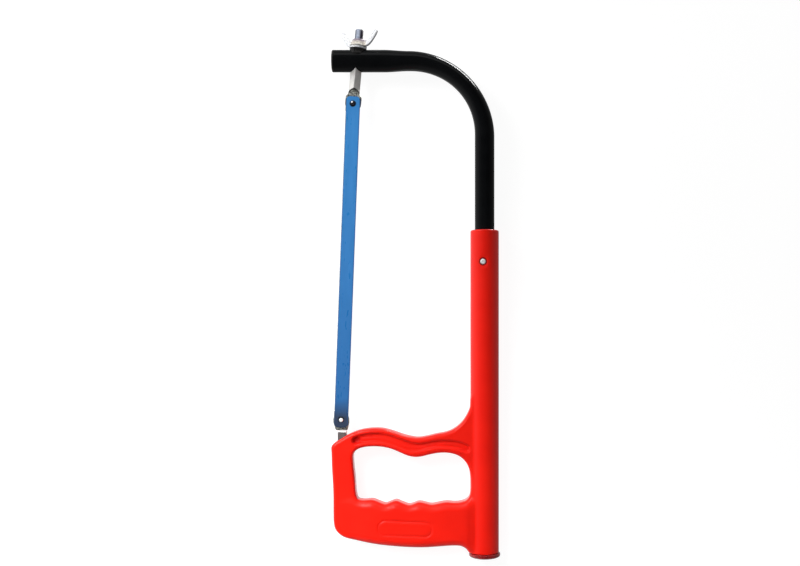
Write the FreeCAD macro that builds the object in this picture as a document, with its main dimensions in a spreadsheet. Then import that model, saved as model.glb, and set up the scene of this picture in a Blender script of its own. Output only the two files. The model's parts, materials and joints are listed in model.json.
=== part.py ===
import FreeCAD, Part
import math
import os
import Sketcher

# A hacksaw lying on its side. X and Y span the plane of the saw, with the blade along Y, the
# handle towards -Y and the frame's leg on the +X side. Z is up, out of the plane of the saw.
# The origin is under the middle of the saw, on the surface that it lies on. Lengths are in mm.

Vector = FreeCAD.Vector
Rotation = FreeCAD.Rotation
Z_AXIS = Vector(0, 0, 1)
NEARLY = 1e-4

doc = FreeCAD.newDocument("hacksaw")
sizes = doc.addObject("Spreadsheet::Sheet", "sizes")

DRIVING_SIZES = {
    # The saw's layout.
    "leg_x": 65.3,            # axis of the frame's leg and of the handle's sleeve
    "arm_y": 221.9,           # axis of the frame's upper arm
    "end_y": -252.0,          # outer face of the end cap
    "mid_z": 14.8,            # the saw's middle plane, half the end cap above the surface
    # Frame tube, round in the leg and pressed oval in the bend and the arm.
    "tube_across": 18.6,
    "tube_wall": 1.5,
    "bend_radius": 71.5,
    "bend_wide": 16.8,
    "bend_thick": 20.4,
    "arm_tall": 21.0,
    "arm_thick": 16.4,
    "arm_reach": 143.6,       # from the leg's axis to the tube's open end
    "arm_taper_start": 10.0,  # from the end of the bend to where the arm starts to flatten
    "arm_taper": 26.0,
    "plug_flange": 1.8,
    "plug_depth": 14.0,
    "plug_play": 0.1,
    # Blade and its pins.
    "blade_length": 300.0,    # between the centres of the two holes
    "blade_wide": 13.0,
    "blade_thick": 0.65,
    "blade_overhang": 7.6,
    "blade_hole": 5.2,
    "tooth_pitch": 1.06,
    "tooth_depth": 0.6,
    "toothless_end": 7.0,     # from the hole's centre to the first tooth
    "pin_across": 3.8,
    "pin_stand": 1.3,         # pin's height above the blade
    "seat_gap": 0.02,         # between surfaces that bear on each other and move
    # Tension rod.
    "rod_from_leg": 121.6,    # where the rod's axis crosses the arm's
    "rod_lean": 5.0,
    "bar_side": 8.0,
    "bar_hole": 8.3,
    "bar_bottom": 26.0,       # depths below the arm's axis, along the rod
    "bevel_length": 5.4,      # from the bar's bottom to where its bevels meet the spade's faces
    "bevel_wide": 12.4,       # the spade's width there
    "shoulder_length": 8.6,   # from the bar's bottom to where the spade is at its full width
    "pin_depth": 40.5,
    "spade_wide": 15.0,
    "spade_thick": 4.0,
    "stud_across": 7.9,
    "stud_top": 29.8,         # heights above the arm's axis
    "bar_top": 10.6,
    # Guide, washer and wing nut on the rod.
    "guide_across": 15.4,
    "guide_top": 11.3,
    "guide_skirt": 5.4,
    "washer_across": 16.6,
    "washer_hole": 8.4,
    "washer_thick": 1.6,
    "nut_bore": 8.0,
    "boss_base": 16.4,
    "boss_crown": 11.0,
    "boss_height": 7.4,
    "wing_thick": 2.6,
    "wing_turn": 30.0,        # from the saw's plane, at rest
    # Handle moulding.
    "sleeve_across": 27.0,
    "sleeve_mouth": 312.6,    # from the end cap's outer face
    "sleeve_bore": 18.7,
    "bow_thick": 17.0,        # the hand guard round the opening
    "grip_thick": 24.0,
    "bow_round": 3.0,
    "grip_round": 7.0,
    "cap_across": 29.6,
    "cap_thick": 6.4,
    "cap_plug": 15.4,
    "cap_plug_depth": 18.0,
    # Lower blade holder, moulded into the front post of the handle.
    "holder_x": -135.4,       # from the sleeve's axis
    "socket_play": 0.02,
    "holder_shank": 8.0,
    "holder_buried": 30.0,
    "holder_shoulder": 5.0,
    "notch_depth": 1.2,
    "lower_pin_x": -136.4,
    "lower_pin_y": 132.5,
    # Blind rivet through the sleeve's wall and the tube's.
    "rivet_x": -1.9,
    "rivet_y": 282.3,
    "rivet_head": 5.0,
    "rivet_shank": 2.4,
    "rivet_seat": 12.4,       # radius of the plastic that the rivet's head bears on
    "rivet_recess": 7.4,
    "dish_across": 11.4,
    "dish_depth": 0.5,
}

for row, (alias, value) in enumerate(DRIVING_SIZES.items(), start=1):
    sizes.set(f"A{row}", alias)
    sizes.set(f"B{row}", str(value))
    sizes.setAlias(f"B{row}", alias)
doc.recompute()


def size(alias):
    return float(getattr(sizes, alias))


def bind(feature, **expressions):
    """Binds a feature's properties to expressions over the sheet's aliases, written in braces."""
    for name, expression in expressions.items():
        feature.setExpression(name, expression.replace("{", "sizes.").replace("}", ""))


def new_body(label):
    body = doc.addObject("PartDesign::Body", label)
    body.Label = label
    return body


def new_sketch(body, name, role="XY_Plane", lift=None):
    """An empty sketch on one of the body's own origin planes, lifted along its normal."""
    sketch = body.newObject("Sketcher::SketchObject", name)
    plane = next(o for o in body.Origin.OriginFeatures if o.Role == role)
    sketch.AttachmentSupport = [(plane, "")]
    sketch.MapMode = "FlatFace"
    if lift:
        bind(sketch, **{"AttachmentOffset.Base.z": lift})
    return sketch


def draw_circle(sketch, diameter, x="0", y="0"):
    """A circle whose radius and centre are bound to expressions over the sheet."""
    index = sketch.addGeometry(Part.Circle(Vector(0, 0, 0), Z_AXIS, 1.0))
    rules = {
        f"radius{index}": (Sketcher.Constraint("Radius", index, 1.0), f"({diameter}) / 2"),
        f"right{index}": (Sketcher.Constraint("DistanceX", -1, 1, index, 3, 0.0), x),
        f"up{index}": (Sketcher.Constraint("DistanceY", -1, 1, index, 3, 0.0), y),
    }
    for name, (constraint, expression) in rules.items():
        number = sketch.addConstraint(constraint)
        sketch.renameConstraint(number, name)
        if expression != "0":
            bind(sketch, **{f"Constraints.{name}": expression})


def draw_rectangle(sketch, width, depth):
    """A rectangle centred on the sketch's origin, its sides bound to the sheet."""
    corners = [Vector(-1, -1, 0), Vector(1, -1, 0), Vector(1, 1, 0), Vector(-1, 1, 0)]
    for start, end in zip(corners, corners[1:] + corners[:1]):
        sketch.addGeometry(Part.LineSegment(start, end))
    for side in range(4):
        sketch.addConstraint(Sketcher.Constraint("Coincident", side, 2, (side + 1) % 4, 1))
    for side, kind in enumerate(["Horizontal", "Vertical", "Horizontal", "Vertical"]):
        sketch.addConstraint(Sketcher.Constraint(kind, side))
    sketch.addConstraint(Sketcher.Constraint("Symmetric", 0, 1, 2, 1, -1, 1))
    across = sketch.addConstraint(Sketcher.Constraint("DistanceX", 0, 1, 0, 2, 2.0))
    up = sketch.addConstraint(Sketcher.Constraint("DistanceY", 1, 1, 1, 2, 2.0))
    sketch.renameConstraint(across, "width")
    sketch.renameConstraint(up, "depth")
    bind(sketch, **{"Constraints.width": width, "Constraints.depth": depth})


def draw_polygon(sketch, points):
    draw_path(sketch, points + points[:1])


def draw_curve(sketch, points):
    """A smooth curve through the points."""
    curve = Part.BSplineCurve()
    curve.interpolate([Vector(x, y, 0) for x, y in points])
    sketch.addGeometry(curve)


def draw_path(sketch, points):
    """Straight lines from point to point."""
    for start, end in zip(points, points[1:]):
        sketch.addGeometry(Part.LineSegment(Vector(*start, 0), Vector(*end, 0)))


def pad(body, sketch, name, length, **settings):
    feature = body.newObject("PartDesign::Pad", name)
    feature.Profile = sketch
    bind(feature, Length=length)
    for key, value in settings.items():
        setattr(feature, key, value)
    return feature


def pocket(body, sketch, name, length, **settings):
    """Cuts a pocket, and stops if it takes nothing away."""
    doc.recompute()
    before = body.Shape.Volume
    feature = body.newObject("PartDesign::Pocket", name)
    feature.Profile = sketch
    bind(feature, Length=length)
    for key, value in settings.items():
        setattr(feature, key, value)
    doc.recompute()
    if body.Shape.Volume > before - NEARLY:
        raise RuntimeError(f"{body.Label}: {name} cut nothing")
    return feature


def turn(body, label, profile, role="XZ_Plane"):
    """Turns a profile of (radius, height) corners, by default round the body's Z axis."""
    sketch = new_sketch(body, f"{label}_profile", role)
    draw_polygon(sketch, profile)
    feature = body.newObject("PartDesign::Revolution", f"{label}_turned")
    feature.Profile = sketch
    feature.ReferenceAxis = (sketch, ["V_Axis"])
    feature.Angle = 360.0
    return feature


def round_edges(body, name, radius, chosen):
    """Rounds the edges of the body's present shape that chosen(edge) picks."""
    doc.recompute()
    base = body.Tip
    names = [f"Edge{i}" for i, edge in enumerate(base.Shape.Edges, 1) if chosen(edge)]
    feature = body.newObject("PartDesign::Fillet", name)
    feature.Base = (base, names)
    bind(feature, Radius=radius)
    return feature


# Where things stand. The rod's frame has Z outwards along the rod, Y to the right across the saw
# and X up from the saw's plane. The handle's frame is at the sleeve's lower end, on its axis.
LEAN = math.radians(size("rod_lean"))
ROD_ORIGIN = Vector(size("leg_x") - size("rod_from_leg"), size("arm_y"), size("mid_z"))
ROD_OUT = Vector(math.sin(LEAN), math.cos(LEAN), 0)
ROD_RIGHT = Vector(math.cos(LEAN), -math.sin(LEAN), 0)
ROD_FRAME = FreeCAD.Placement(ROD_ORIGIN, Rotation(Z_AXIS, ROD_RIGHT, ROD_OUT, "ZXY"))
HANDLE_ORIGIN = Vector(size("leg_x"), size("end_y"), size("mid_z"))
HANDLE_FRAME = FreeCAD.Placement(HANDLE_ORIGIN, Rotation())
LEG_FRAME = FreeCAD.Placement(HANDLE_ORIGIN, Rotation(Vector(1, 0, 0), -90))

UPPER_PIN = ROD_ORIGIN - ROD_OUT * size("pin_depth")
LOWER_PIN = HANDLE_ORIGIN + Vector(size("lower_pin_x"), size("lower_pin_y"), 0)


def on_rod(height=0.0, spin=0.0):
    """A placement on the rod's axis, so far above the arm's axis, turned so far about it."""
    return ROD_FRAME * FreeCAD.Placement(Vector(0, 0, height), Rotation(Z_AXIS, spin))


def oval(centre, forward, wide, thick):
    """An oval wire across the tube: wide in the saw's plane, thick along Z."""
    across = Z_AXIS.cross(forward)
    frame = FreeCAD.Matrix(
        across.x * wide / 2, 0, forward.x, centre.x,
        across.y * wide / 2, 0, forward.y, centre.y,
        0, thick / 2, 0, centre.z,
        0, 0, 0, 1,
    )
    return Part.Wire(Part.makeCircle(1.0)).transformGeometry(frame)


def tube_stations():
    """Lists of (centre, forward, wide, thick): leg, bend, taper and arm, each a smooth stretch."""
    radius = size("bend_radius")
    round_size = size("tube_across")
    arm_y = size("arm_y")
    mid_z = size("mid_z")
    hub = Vector(size("leg_x") - radius, arm_y - radius, mid_z)
    up = Vector(0, 1, 0)
    left = Vector(-1, 0, 0)
    leg_start = Vector(size("leg_x"), size("end_y") + size("cap_thick"), mid_z)
    leg_end = Vector(size("leg_x"), arm_y - radius, mid_z)
    leg = [(leg_start, up, round_size, round_size), (leg_end, up, round_size, round_size)]
    bend = []
    steps = 10
    for step in range(steps + 1):
        angle = math.pi / 2 * step / steps
        pressed = math.sin(math.pi * step / steps) ** 0.5
        centre = hub + Vector(math.cos(angle), math.sin(angle), 0) * radius
        forward = Vector(-math.sin(angle), math.cos(angle), 0)
        wide = round_size + (size("bend_wide") - round_size) * pressed
        thick = round_size + (size("bend_thick") - round_size) * pressed
        bend.append((centre, forward, wide, thick))
    taper_start = hub.x - size("arm_taper_start")
    taper_end = taper_start - size("arm_taper")
    arm_end = size("leg_x") - size("arm_reach")
    arm = (size("arm_tall"), size("arm_thick"))
    straight = [
        (Vector(hub.x, arm_y, mid_z), left, round_size, round_size),
        (Vector(taper_start, arm_y, mid_z), left, round_size, round_size),
    ]
    taper = [straight[1], (Vector(taper_end, arm_y, mid_z), left, *arm)]
    flat = [taper[1], (Vector(arm_end, arm_y, mid_z), left, *arm)]
    return [leg, bend, straight, taper, flat]


def tube_solid(inset=0.0, overrun=0.0):
    """The tube's outside as a solid, or its inside, inset by the wall and run past both ends."""
    stretches = tube_stations()
    first = stretches[0][0]
    last = stretches[-1][-1]
    stretches[0][0] = (first[0] - first[1] * overrun, *first[1:])
    stretches[-1][-1] = (last[0] + last[1] * overrun, *last[1:])
    solid = None
    for stations in stretches:
        wires = [oval(c, f, w - 2 * inset, t - 2 * inset) for c, f, w, t in stations]
        piece = Part.makeLoft(wires, True, len(wires) == 2)
        solid = piece if solid is None else solid.fuse(piece)
    return solid


def square_bar(side, bottom, top):
    """A square bar along the rod's axis, with one corner towards the viewer."""
    bar = Part.makeBox(side, side, top - bottom, Vector(-side / 2, -side / 2, bottom))
    bar.Placement = on_rod(spin=45.0)
    return bar


def add_feature(label, shape):
    feature = doc.addObject("Part::Feature", label)
    feature.Label = label
    feature.Shape = shape
    return feature


def make_frame_tube():
    past_ends = 5.0
    hollow = tube_solid().cut(tube_solid(inset=size("tube_wall"), overrun=past_ends))
    reach = size("arm_tall")
    rod_holes = square_bar(size("bar_hole"), -reach, reach)
    rivet_play = 0.05
    rivet_hole = Part.makeCylinder(
        size("rivet_shank") / 2 + rivet_play,
        size("tube_across"),
        HANDLE_ORIGIN + Vector(size("rivet_x"), size("rivet_y"), 0),
    )
    return add_feature("frame_tube", hollow.cut(rod_holes).cut(rivet_hole).removeSplitter())


def make_rod_guide():
    """A saddle collar: flat above for the washer, hollowed below to sit on the arm."""
    height = size("guide_top") - size("guide_skirt")
    collar = Part.makeCylinder(size("guide_across") / 2, height, Vector(0, 0, size("guide_skirt")))
    collar.Placement = on_rod()
    reach = size("arm_tall")
    hole = square_bar(size("bar_hole"), -reach, reach)
    return add_feature("rod_guide", collar.cut(tube_solid()).cut(hole))


def make_tube_end_plug():
    """A push-in plug for the arm's open end, in its own frame with Z out of the tube."""
    body = new_body("tube_end_plug")
    flange = new_sketch(body, "flange_outline")
    flange.addGeometry(
        Part.Ellipse(Vector(0, 0, 0), size("arm_tall") / 2, size("arm_thick") / 2)
    )
    pad(body, flange, "flange", "{plug_flange}")
    shank = new_sketch(body, "shank_outline")
    inset = size("tube_wall") + size("plug_play")
    shank.addGeometry(
        Part.Ellipse(Vector(0, 0, 0), size("arm_tall") / 2 - inset, size("arm_thick") / 2 - inset)
    )
    pad(body, shank, "shank", "{plug_depth}", Reversed=True)
    round_edges(body, "crown", "{plug_flange} * 0.6", lambda edge: edge.BoundBox.ZMin > NEARLY)
    end = Vector(size("leg_x") - size("arm_reach"), size("arm_y"), size("mid_z"))
    body.Placement = FreeCAD.Placement(end, Rotation(Vector(0, 1, 0), Z_AXIS, Vector(-1, 0, 0), "ZXY"))
    return body


def make_washer():
    body = new_body("washer")
    ring = new_sketch(body, "ring")
    draw_circle(ring, "{washer_across}")
    draw_circle(ring, "{washer_hole}")
    pad(body, ring, "disc", "{washer_thick}")
    body.Placement = on_rod(size("guide_top"))
    return body


# One wing, as (distance from the axis, height above the washer), round from root to tip.
WING_OUTSIDE = [(6.0, 0.6), (11.0, 1.2), (15.0, 4.1), (19.2, 9.9), (21.0, 13.8)]
WING_TIP = [(21.0, 13.8), (20.4, 15.38), (18.6, 15.66), (16.8, 14.3)]
WING_INSIDE = [(16.8, 14.3), (14.4, 11.2), (12.2, 8.0), (9.4, 6.0), (6.0, 5.6)]


def make_wing_nut():
    body = new_body("wing_nut")
    base = size("boss_base") / 2
    crown = size("boss_crown") / 2
    height = size("boss_height")
    skirt = 1.6
    boss = [(0, 0), (base, 0), (base, skirt), (crown, height), (0, height)]
    turn(body, "boss", boss)
    for side, name in ((1, "right"), (-1, "left")):
        outline = new_sketch(body, f"{name}_wing_outline", "YZ_Plane")
        for points in (WING_OUTSIDE, WING_TIP, WING_INSIDE):
            draw_curve(outline, [(side * distance, up) for distance, up in points])
        draw_path(outline, [(side * distance, up) for distance, up in (WING_INSIDE[-1], WING_OUTSIDE[0])])
        pad(body, outline, f"{name}_wing", "{wing_thick}", Midplane=True)
    bore = new_sketch(body, "bore_outline")
    draw_circle(bore, "{nut_bore}")
    pocket(body, bore, "bore", "{boss_height} + 1", Reversed=True)
    seat = size("guide_top") + size("washer_thick") + size("seat_gap")
    body.Placement = on_rod(seat, -size("wing_turn"))
    return body


def make_tension_rod():
    """A square bar with a threaded stud above and a flat spade below, along its own Z."""
    body = new_body("tension_rod")
    spade = new_sketch(body, "spade_outline", "YZ_Plane")
    pin_z = -size("pin_depth")
    half = size("spade_wide") / 2
    shoulder_z = -size("bar_bottom") - size("shoulder_length")
    neck = size("bevel_wide") / 2
    neck_z = -size("bar_bottom") - size("bevel_length")
    rim = Part.Circle(Vector(0, pin_z, 0), Z_AXIS, half)
    spade.addGeometry(Part.ArcOfCircle(rim, math.pi, 2 * math.pi))
    draw_path(spade, [
        (half, pin_z), (half, shoulder_z), (neck, neck_z), (-neck, neck_z), (-half, shoulder_z),
        (-half, pin_z),
    ])
    pad(body, spade, "spade", "{spade_thick}", Midplane=True)
    eye = new_sketch(body, "eye_outline", "YZ_Plane")
    draw_circle(eye, "{pin_across}", y="-{pin_depth}")
    pocket(body, eye, "eye", "{spade_thick} * 2", Midplane=True)
    bevel_foot = new_sketch(body, "bevel_foot", "XY_Plane", "-{bar_bottom} - {bevel_length}")
    draw_rectangle(bevel_foot, "{spade_thick}", "{bevel_wide}")
    bevel_head = new_sketch(body, "bevel_head", "XY_Plane", "-{bar_bottom}")
    draw_rectangle(bevel_head, "{bar_side}", "{bar_side}")
    bevels = body.newObject("PartDesign::AdditiveLoft", "bevels")
    bevels.Profile = bevel_foot
    bevels.Sections = [bevel_head]
    bevels.Ruled = True
    bar = new_sketch(body, "bar_outline", "XY_Plane", "-{bar_bottom}")
    draw_rectangle(bar, "{bar_side}", "{bar_side}")
    bar.AttachmentOffset = FreeCAD.Placement(Vector(0, 0, 0), Rotation(Z_AXIS, 45))
    pad(body, bar, "bar", "{bar_bottom} + {bar_top}")
    stud = new_sketch(body, "stud_outline")
    draw_circle(stud, "{stud_across}")
    pad(body, stud, "stud", "{stud_top}")
    top_edge = size("stud_top")
    round_edges(body, "stud_end", "{stud_across} / 10", lambda e: e.BoundBox.ZMin > top_edge - NEARLY)
    body.Placement = on_rod()
    return body


def make_pin(label, at, spin):
    """A blade pin: pressed through the spade, with a domed end that stands over the blade."""
    body = new_body(label)
    radius = size("pin_across") / 2
    back = -size("spade_thick") / 2
    front = size("spade_thick") / 2 + size("blade_thick") + size("pin_stand")
    dome = 0.5
    profile = [(0, back), (radius, back), (radius, front - dome), (radius - dome, front), (0, front)]
    turn(body, label, profile)
    body.Placement = FreeCAD.Placement(at, Rotation(Z_AXIS, spin))
    return body


def make_blade():
    """A toothed strip in its own frame: the upper hole at the origin, the lower one down -Y."""
    body = new_body("blade")
    half = size("blade_wide") / 2
    top = size("blade_overhang")
    foot = -size("blade_length") - size("blade_overhang")
    pitch = size("tooth_pitch")
    root = -half + size("tooth_depth")
    first = -size("toothless_end")
    front = 0.3 * pitch       # a tooth's steep side, along the blade
    count = int((size("blade_length") - 2 * size("toothless_end")) / pitch)
    corner = 3.0
    outline = [(-half, foot + corner), (-half + corner, foot), (half - corner, foot)]
    outline += [(half, foot + corner), (half, top - corner), (half - corner, top)]
    outline += [(-half + corner, top), (-half, top - corner)]
    for tooth in range(count):
        tip = first - pitch * tooth
        outline += [(-half, tip), (root, tip - front)]
    outline.append((-half, first - pitch * count))
    strip = new_sketch(body, "outline")
    draw_polygon(strip, outline)
    pad(body, strip, "strip", "{blade_thick}")
    holes = new_sketch(body, "hole_outlines")
    draw_circle(holes, "{blade_hole}")
    draw_circle(holes, "{blade_hole}", y="-{blade_length}")
    pocket(body, holes, "holes", "{blade_thick} * 2", Reversed=True)
    # The upper pin pulls on the top of its hole, and the blade's foot pulls on the lower pin.
    line = (LOWER_PIN - UPPER_PIN).normalize()
    play = (size("blade_hole") - size("pin_across")) / 2 - size("seat_gap")
    upper_hole = UPPER_PIN + line * play
    lean = math.degrees(math.atan2(line.x, -line.y))
    upper_hole.z = size("mid_z") + size("spade_thick") / 2 + size("seat_gap")
    body.Placement = FreeCAD.Placement(upper_hole, Rotation(Z_AXIS, lean))
    return body


def make_lower_blade_holder():
    """A spade on a square shank with two retaining notches, along its own Y, pin at the origin."""
    body = new_body("lower_blade_holder")
    half = size("spade_wide") / 2
    shank_half = size("holder_shank") / 2
    middle_x = size("holder_x") - size("lower_pin_x")
    left = middle_x - shank_half
    right = middle_x + shank_half
    neck = -half
    waist = neck - size("holder_shoulder")
    foot = waist - size("holder_buried")
    spade = new_sketch(body, "spade_outline")
    rim = Part.Circle(Vector(0, 0, 0), Z_AXIS, half)
    spade.addGeometry(Part.ArcOfCircle(rim, 0, math.pi))
    draw_path(spade, [(-half, 0), (-half, neck), (left, waist), (right, waist), (half, neck), (half, 0)])
    pad(body, spade, "spade", "{spade_thick}", Midplane=True)
    eye = new_sketch(body, "eye_outline")
    draw_circle(eye, "{pin_across}")
    pocket(body, eye, "eye", "{spade_thick} * 2", Midplane=True)
    shank = new_sketch(body, "shank_outline")
    shank_top = waist + size("holder_shoulder") / 2
    draw_polygon(shank, [(left, shank_top), (left, foot), (right, foot), (right, shank_top)])
    pad(body, shank, "shank", "{holder_shank}", Midplane=True)
    notches = new_sketch(body, "notch_outlines")
    notch = size("notch_depth")
    middle = foot + size("holder_buried") / 3
    for edge, inward in ((left, 1), (right, -1)):
        lip = edge - inward
        draw_polygon(notches, [
            (lip, middle - 2 * notch), (edge + inward * notch, middle), (lip, middle + 2 * notch),
        ])
    pocket(body, notches, "notches", "{holder_shank} * 2", Midplane=True)
    body.Placement = FreeCAD.Placement(LOWER_PIN, Rotation())
    return body


# The handle's outlines, measured from the sleeve's axis and the end cap's face.
BOW_TOP = [
    (-137.5, 113.8), (-129.0, 118.6), (-116.0, 123.8), (-102.7, 125.0), (-83.0, 120.9),
    (-63.8, 116.1), (-45.8, 119.4), (-34.0, 121.6), (-22.0, 130.0), (-15.2, 141.5), (-12.2, 154.0),
]
BOW_INSIDE = [
    (-12.2, 78.0), (-18.8, 94.0), (-31.6, 101.2), (-48.0, 101.0), (-66.0, 97.8), (-88.9, 105.6),
    (-107.0, 107.9), (-118.0, 105.8), (-124.0, 99.0), (-123.6, 84.0), (-121.8, 62.0), (-120.6, 44.0),
]
BOW_OUTSIDE = [
    (-142.8, 44.0), (-143.4, 66.0), (-144.3, 88.0), (-144.8, 98.0), (-144.6, 105.0), (-142.0, 110.0),
    (-137.5, 113.8),
]
GRIP_BOTTOM = [
    (-142.8, 47.0), (-142.8, 38.0), (-140.4, 28.4), (-132.0, 21.6), (-104.0, 15.9), (-64.0, 12.7),
    (-30.0, 14.0), (-8.0, 14.0),
]
GRIP_TOP = [
    (-8.0, 55.4), (-22.0, 55.2), (-36.3, 54.8), (-50.5, 52.4), (-62.0, 54.8), (-72.0, 52.4),
    (-83.8, 56.0), (-94.6, 53.2), (-106.1, 56.6), (-122.0, 56.6), (-135.0, 54.6), (-142.8, 47.0),
]


def make_bow_form():
    """The guard above and in front of the hand opening."""
    body = new_body("bow_form")
    outline = new_sketch(body, "bow_outline")
    draw_curve(outline, BOW_TOP)
    inner_x = -8.0
    inside_sleeve = [(inner_x, BOW_TOP[-1][1]), (inner_x, BOW_INSIDE[0][1])]
    draw_path(outline, [BOW_TOP[-1], *inside_sleeve, BOW_INSIDE[0]])
    draw_curve(outline, BOW_INSIDE)
    draw_path(outline, [BOW_INSIDE[-1], BOW_OUTSIDE[0]])
    draw_curve(outline, BOW_OUTSIDE)
    pad(body, outline, "bow", "{bow_thick}", Midplane=True)
    half = size("bow_thick") / 2
    round_edges(body, "bow_rounding", "{bow_round}", lambda edge: is_rim(edge, half))
    return body


def make_grip_form():
    """The grip below the hand opening, scalloped for the fingers."""
    body = new_body("grip_form")
    outline = new_sketch(body, "grip_outline")
    draw_curve(outline, GRIP_BOTTOM)
    draw_path(outline, [GRIP_BOTTOM[-1], GRIP_TOP[0]])
    draw_curve(outline, GRIP_TOP)
    pad(body, outline, "grip", "{grip_thick}", Midplane=True)
    half = size("grip_thick") / 2
    round_edges(body, "grip_rounding", "{grip_round}", lambda edge: is_rim(edge, half))
    return body


def is_rim(edge, half):
    """Whether an edge runs curved round the top or bottom of a plate of that half thickness."""
    box = edge.BoundBox
    level = abs(abs(box.ZMin) - half) < NEARLY and box.ZLength < NEARLY
    return level and not isinstance(edge.Curve, (Part.Line, Part.LineSegment))


def make_handle():
    """One moulding: a long sleeve over the leg, and a bow round the hand opening with a grip."""
    body = new_body("handle")
    radius = size("sleeve_across") / 2
    lip = 1.2
    foot = size("cap_thick")
    mouth = size("sleeve_mouth")
    sleeve = [(0, foot), (radius, foot), (radius, mouth - lip), (radius - lip, mouth), (0, mouth)]
    turn(body, "sleeve", sleeve, "XY_Plane")
    doc.recompute()
    forms = [make_bow_form(), make_grip_form()]
    joined = body.newObject("PartDesign::Boolean", "joined")
    joined.setObjects(forms)
    joined.Type = "Fuse"
    doc.recompute()
    bore = new_sketch(body, "bore_outline", "XZ_Plane")
    draw_circle(bore, "{sleeve_bore}")
    pocket(body, bore, "bore", "{sleeve_mouth} * 2", Midplane=True)
    make_holder_socket(body)
    make_rivet_recess(body)
    body.Placement = HANDLE_FRAME
    return body


def make_holder_socket(body):
    """The square socket in the front post that grips the lower blade holder's shank."""
    above_nose = 12.0
    top = BOW_TOP[0][1] + above_nose
    foot = size("lower_pin_y") - size("spade_wide") / 2 - size("holder_shoulder") - size("holder_buried")
    play = size("socket_play")
    half = size("holder_shank") / 2 + play
    socket = new_sketch(body, "socket_outline")
    left = size("holder_x") - half
    right = size("holder_x") + half
    draw_polygon(socket, [(left, foot - play), (right, foot - play), (right, top), (left, top)])
    pocket(body, socket, "socket", "{holder_shank} + 2 * {socket_play}", Midplane=True)


def make_rivet_recess(body):
    """A shallow dish, a counterbore for the rivet's head and a hole for its shank."""
    cuts = (
        ("dish", "{dish_across}", "{sleeve_across} / 2 - {dish_depth}"),
        ("counterbore", "{rivet_recess}", "{rivet_seat}"),
        ("shank_hole", "{rivet_shank} + 0.1", "0"),
    )
    for name, across, floor in cuts:
        outline = new_sketch(body, f"{name}_outline", lift=floor)
        draw_circle(outline, across, "{rivet_x}", "{rivet_y}")
        pocket(body, outline, name, "{sleeve_across}", Reversed=True)


def make_end_cap():
    """A flanged plug for the sleeve's lower end, turned about the leg's axis."""
    body = new_body("end_cap")
    flange = size("cap_across") / 2
    thick = size("cap_thick")
    plug = size("cap_plug") / 2
    top = thick + size("cap_plug_depth")
    crown = 1.5
    turn(body, "end_cap", [
        (0, 0), (flange - crown, 0), (flange, crown), (flange, thick - 0.6), (flange - 0.6, thick),
        (plug, thick), (plug, top - crown), (plug - crown, top), (0, top),
    ])
    body.Placement = LEG_FRAME
    return body


def make_rivet():
    body = new_body("handle_rivet")
    shank = size("rivet_shank") / 2
    head = size("rivet_head") / 2
    seat = size("rivet_seat")
    core = 0.7
    inside = size("tube_across") / 2 - size("tube_wall") - 0.6
    bulb = 1.8
    turn(body, "handle_rivet", [
        (core, inside - 2.4), (bulb - 0.6, inside - 2.4), (bulb, inside - 1.6), (bulb, inside - 0.6),
        (shank, inside), (shank, seat), (head, seat), (head, seat + 0.3), (head - 0.9, seat + 0.9),
        (core, seat + 0.9),
    ])
    place = HANDLE_ORIGIN + Vector(size("rivet_x"), size("rivet_y"), 0)
    body.Placement = FreeCAD.Placement(place, Rotation())
    return body


def make_rivet_mandrel():
    body = new_body("rivet_mandrel")
    core = 0.66
    ball = 1.1
    foot = size("tube_across") / 2 - size("tube_wall") - 3.1
    top = size("rivet_seat") + 0.2
    turn(body, "rivet_mandrel", [
        (0, foot - 1.4), (ball * 0.6, foot - 1.4), (ball, foot - 0.9), (ball, foot - 0.2), (core, foot),
        (core, top), (0, top),
    ])
    place = HANDLE_ORIGIN + Vector(size("rivet_x"), size("rivet_y"), 0)
    body.Placement = FreeCAD.Placement(place, Rotation())
    return body


PARTS = [
    make_frame_tube(),
    make_tube_end_plug(),
    make_rod_guide(),
    make_washer(),
    make_wing_nut(),
    make_tension_rod(),
    make_pin("upper_blade_pin", UPPER_PIN, -size("rod_lean")),
    make_blade(),
    make_lower_blade_holder(),
    make_pin("lower_blade_pin", LOWER_PIN, 0.0),
    make_handle(),
    make_end_cap(),
    make_rivet(),
    make_rivet_mandrel(),
]

doc.recompute()
for item in doc.Objects:
    if {"Invalid", "Error"} & set(item.State):
        raise RuntimeError(f"{item.Label}: {item.State}")
for part in PARTS:
    if part.Shape.isNull() or not part.Shape.isValid():
        raise RuntimeError(f"{part.Label} has no valid shape")

os.makedirs("parts", exist_ok=True)
for part in PARTS:
    part.Shape.exportStep(f"parts/{part.Label}.step")
    print(f"{part.Label}: {part.Shape.Volume:.1f} mm3, solids {len(part.Shape.Solids)}")
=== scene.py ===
import bpy
import itertools
import json
import math
import numpy as np
from mathutils import Matrix, Vector


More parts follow.
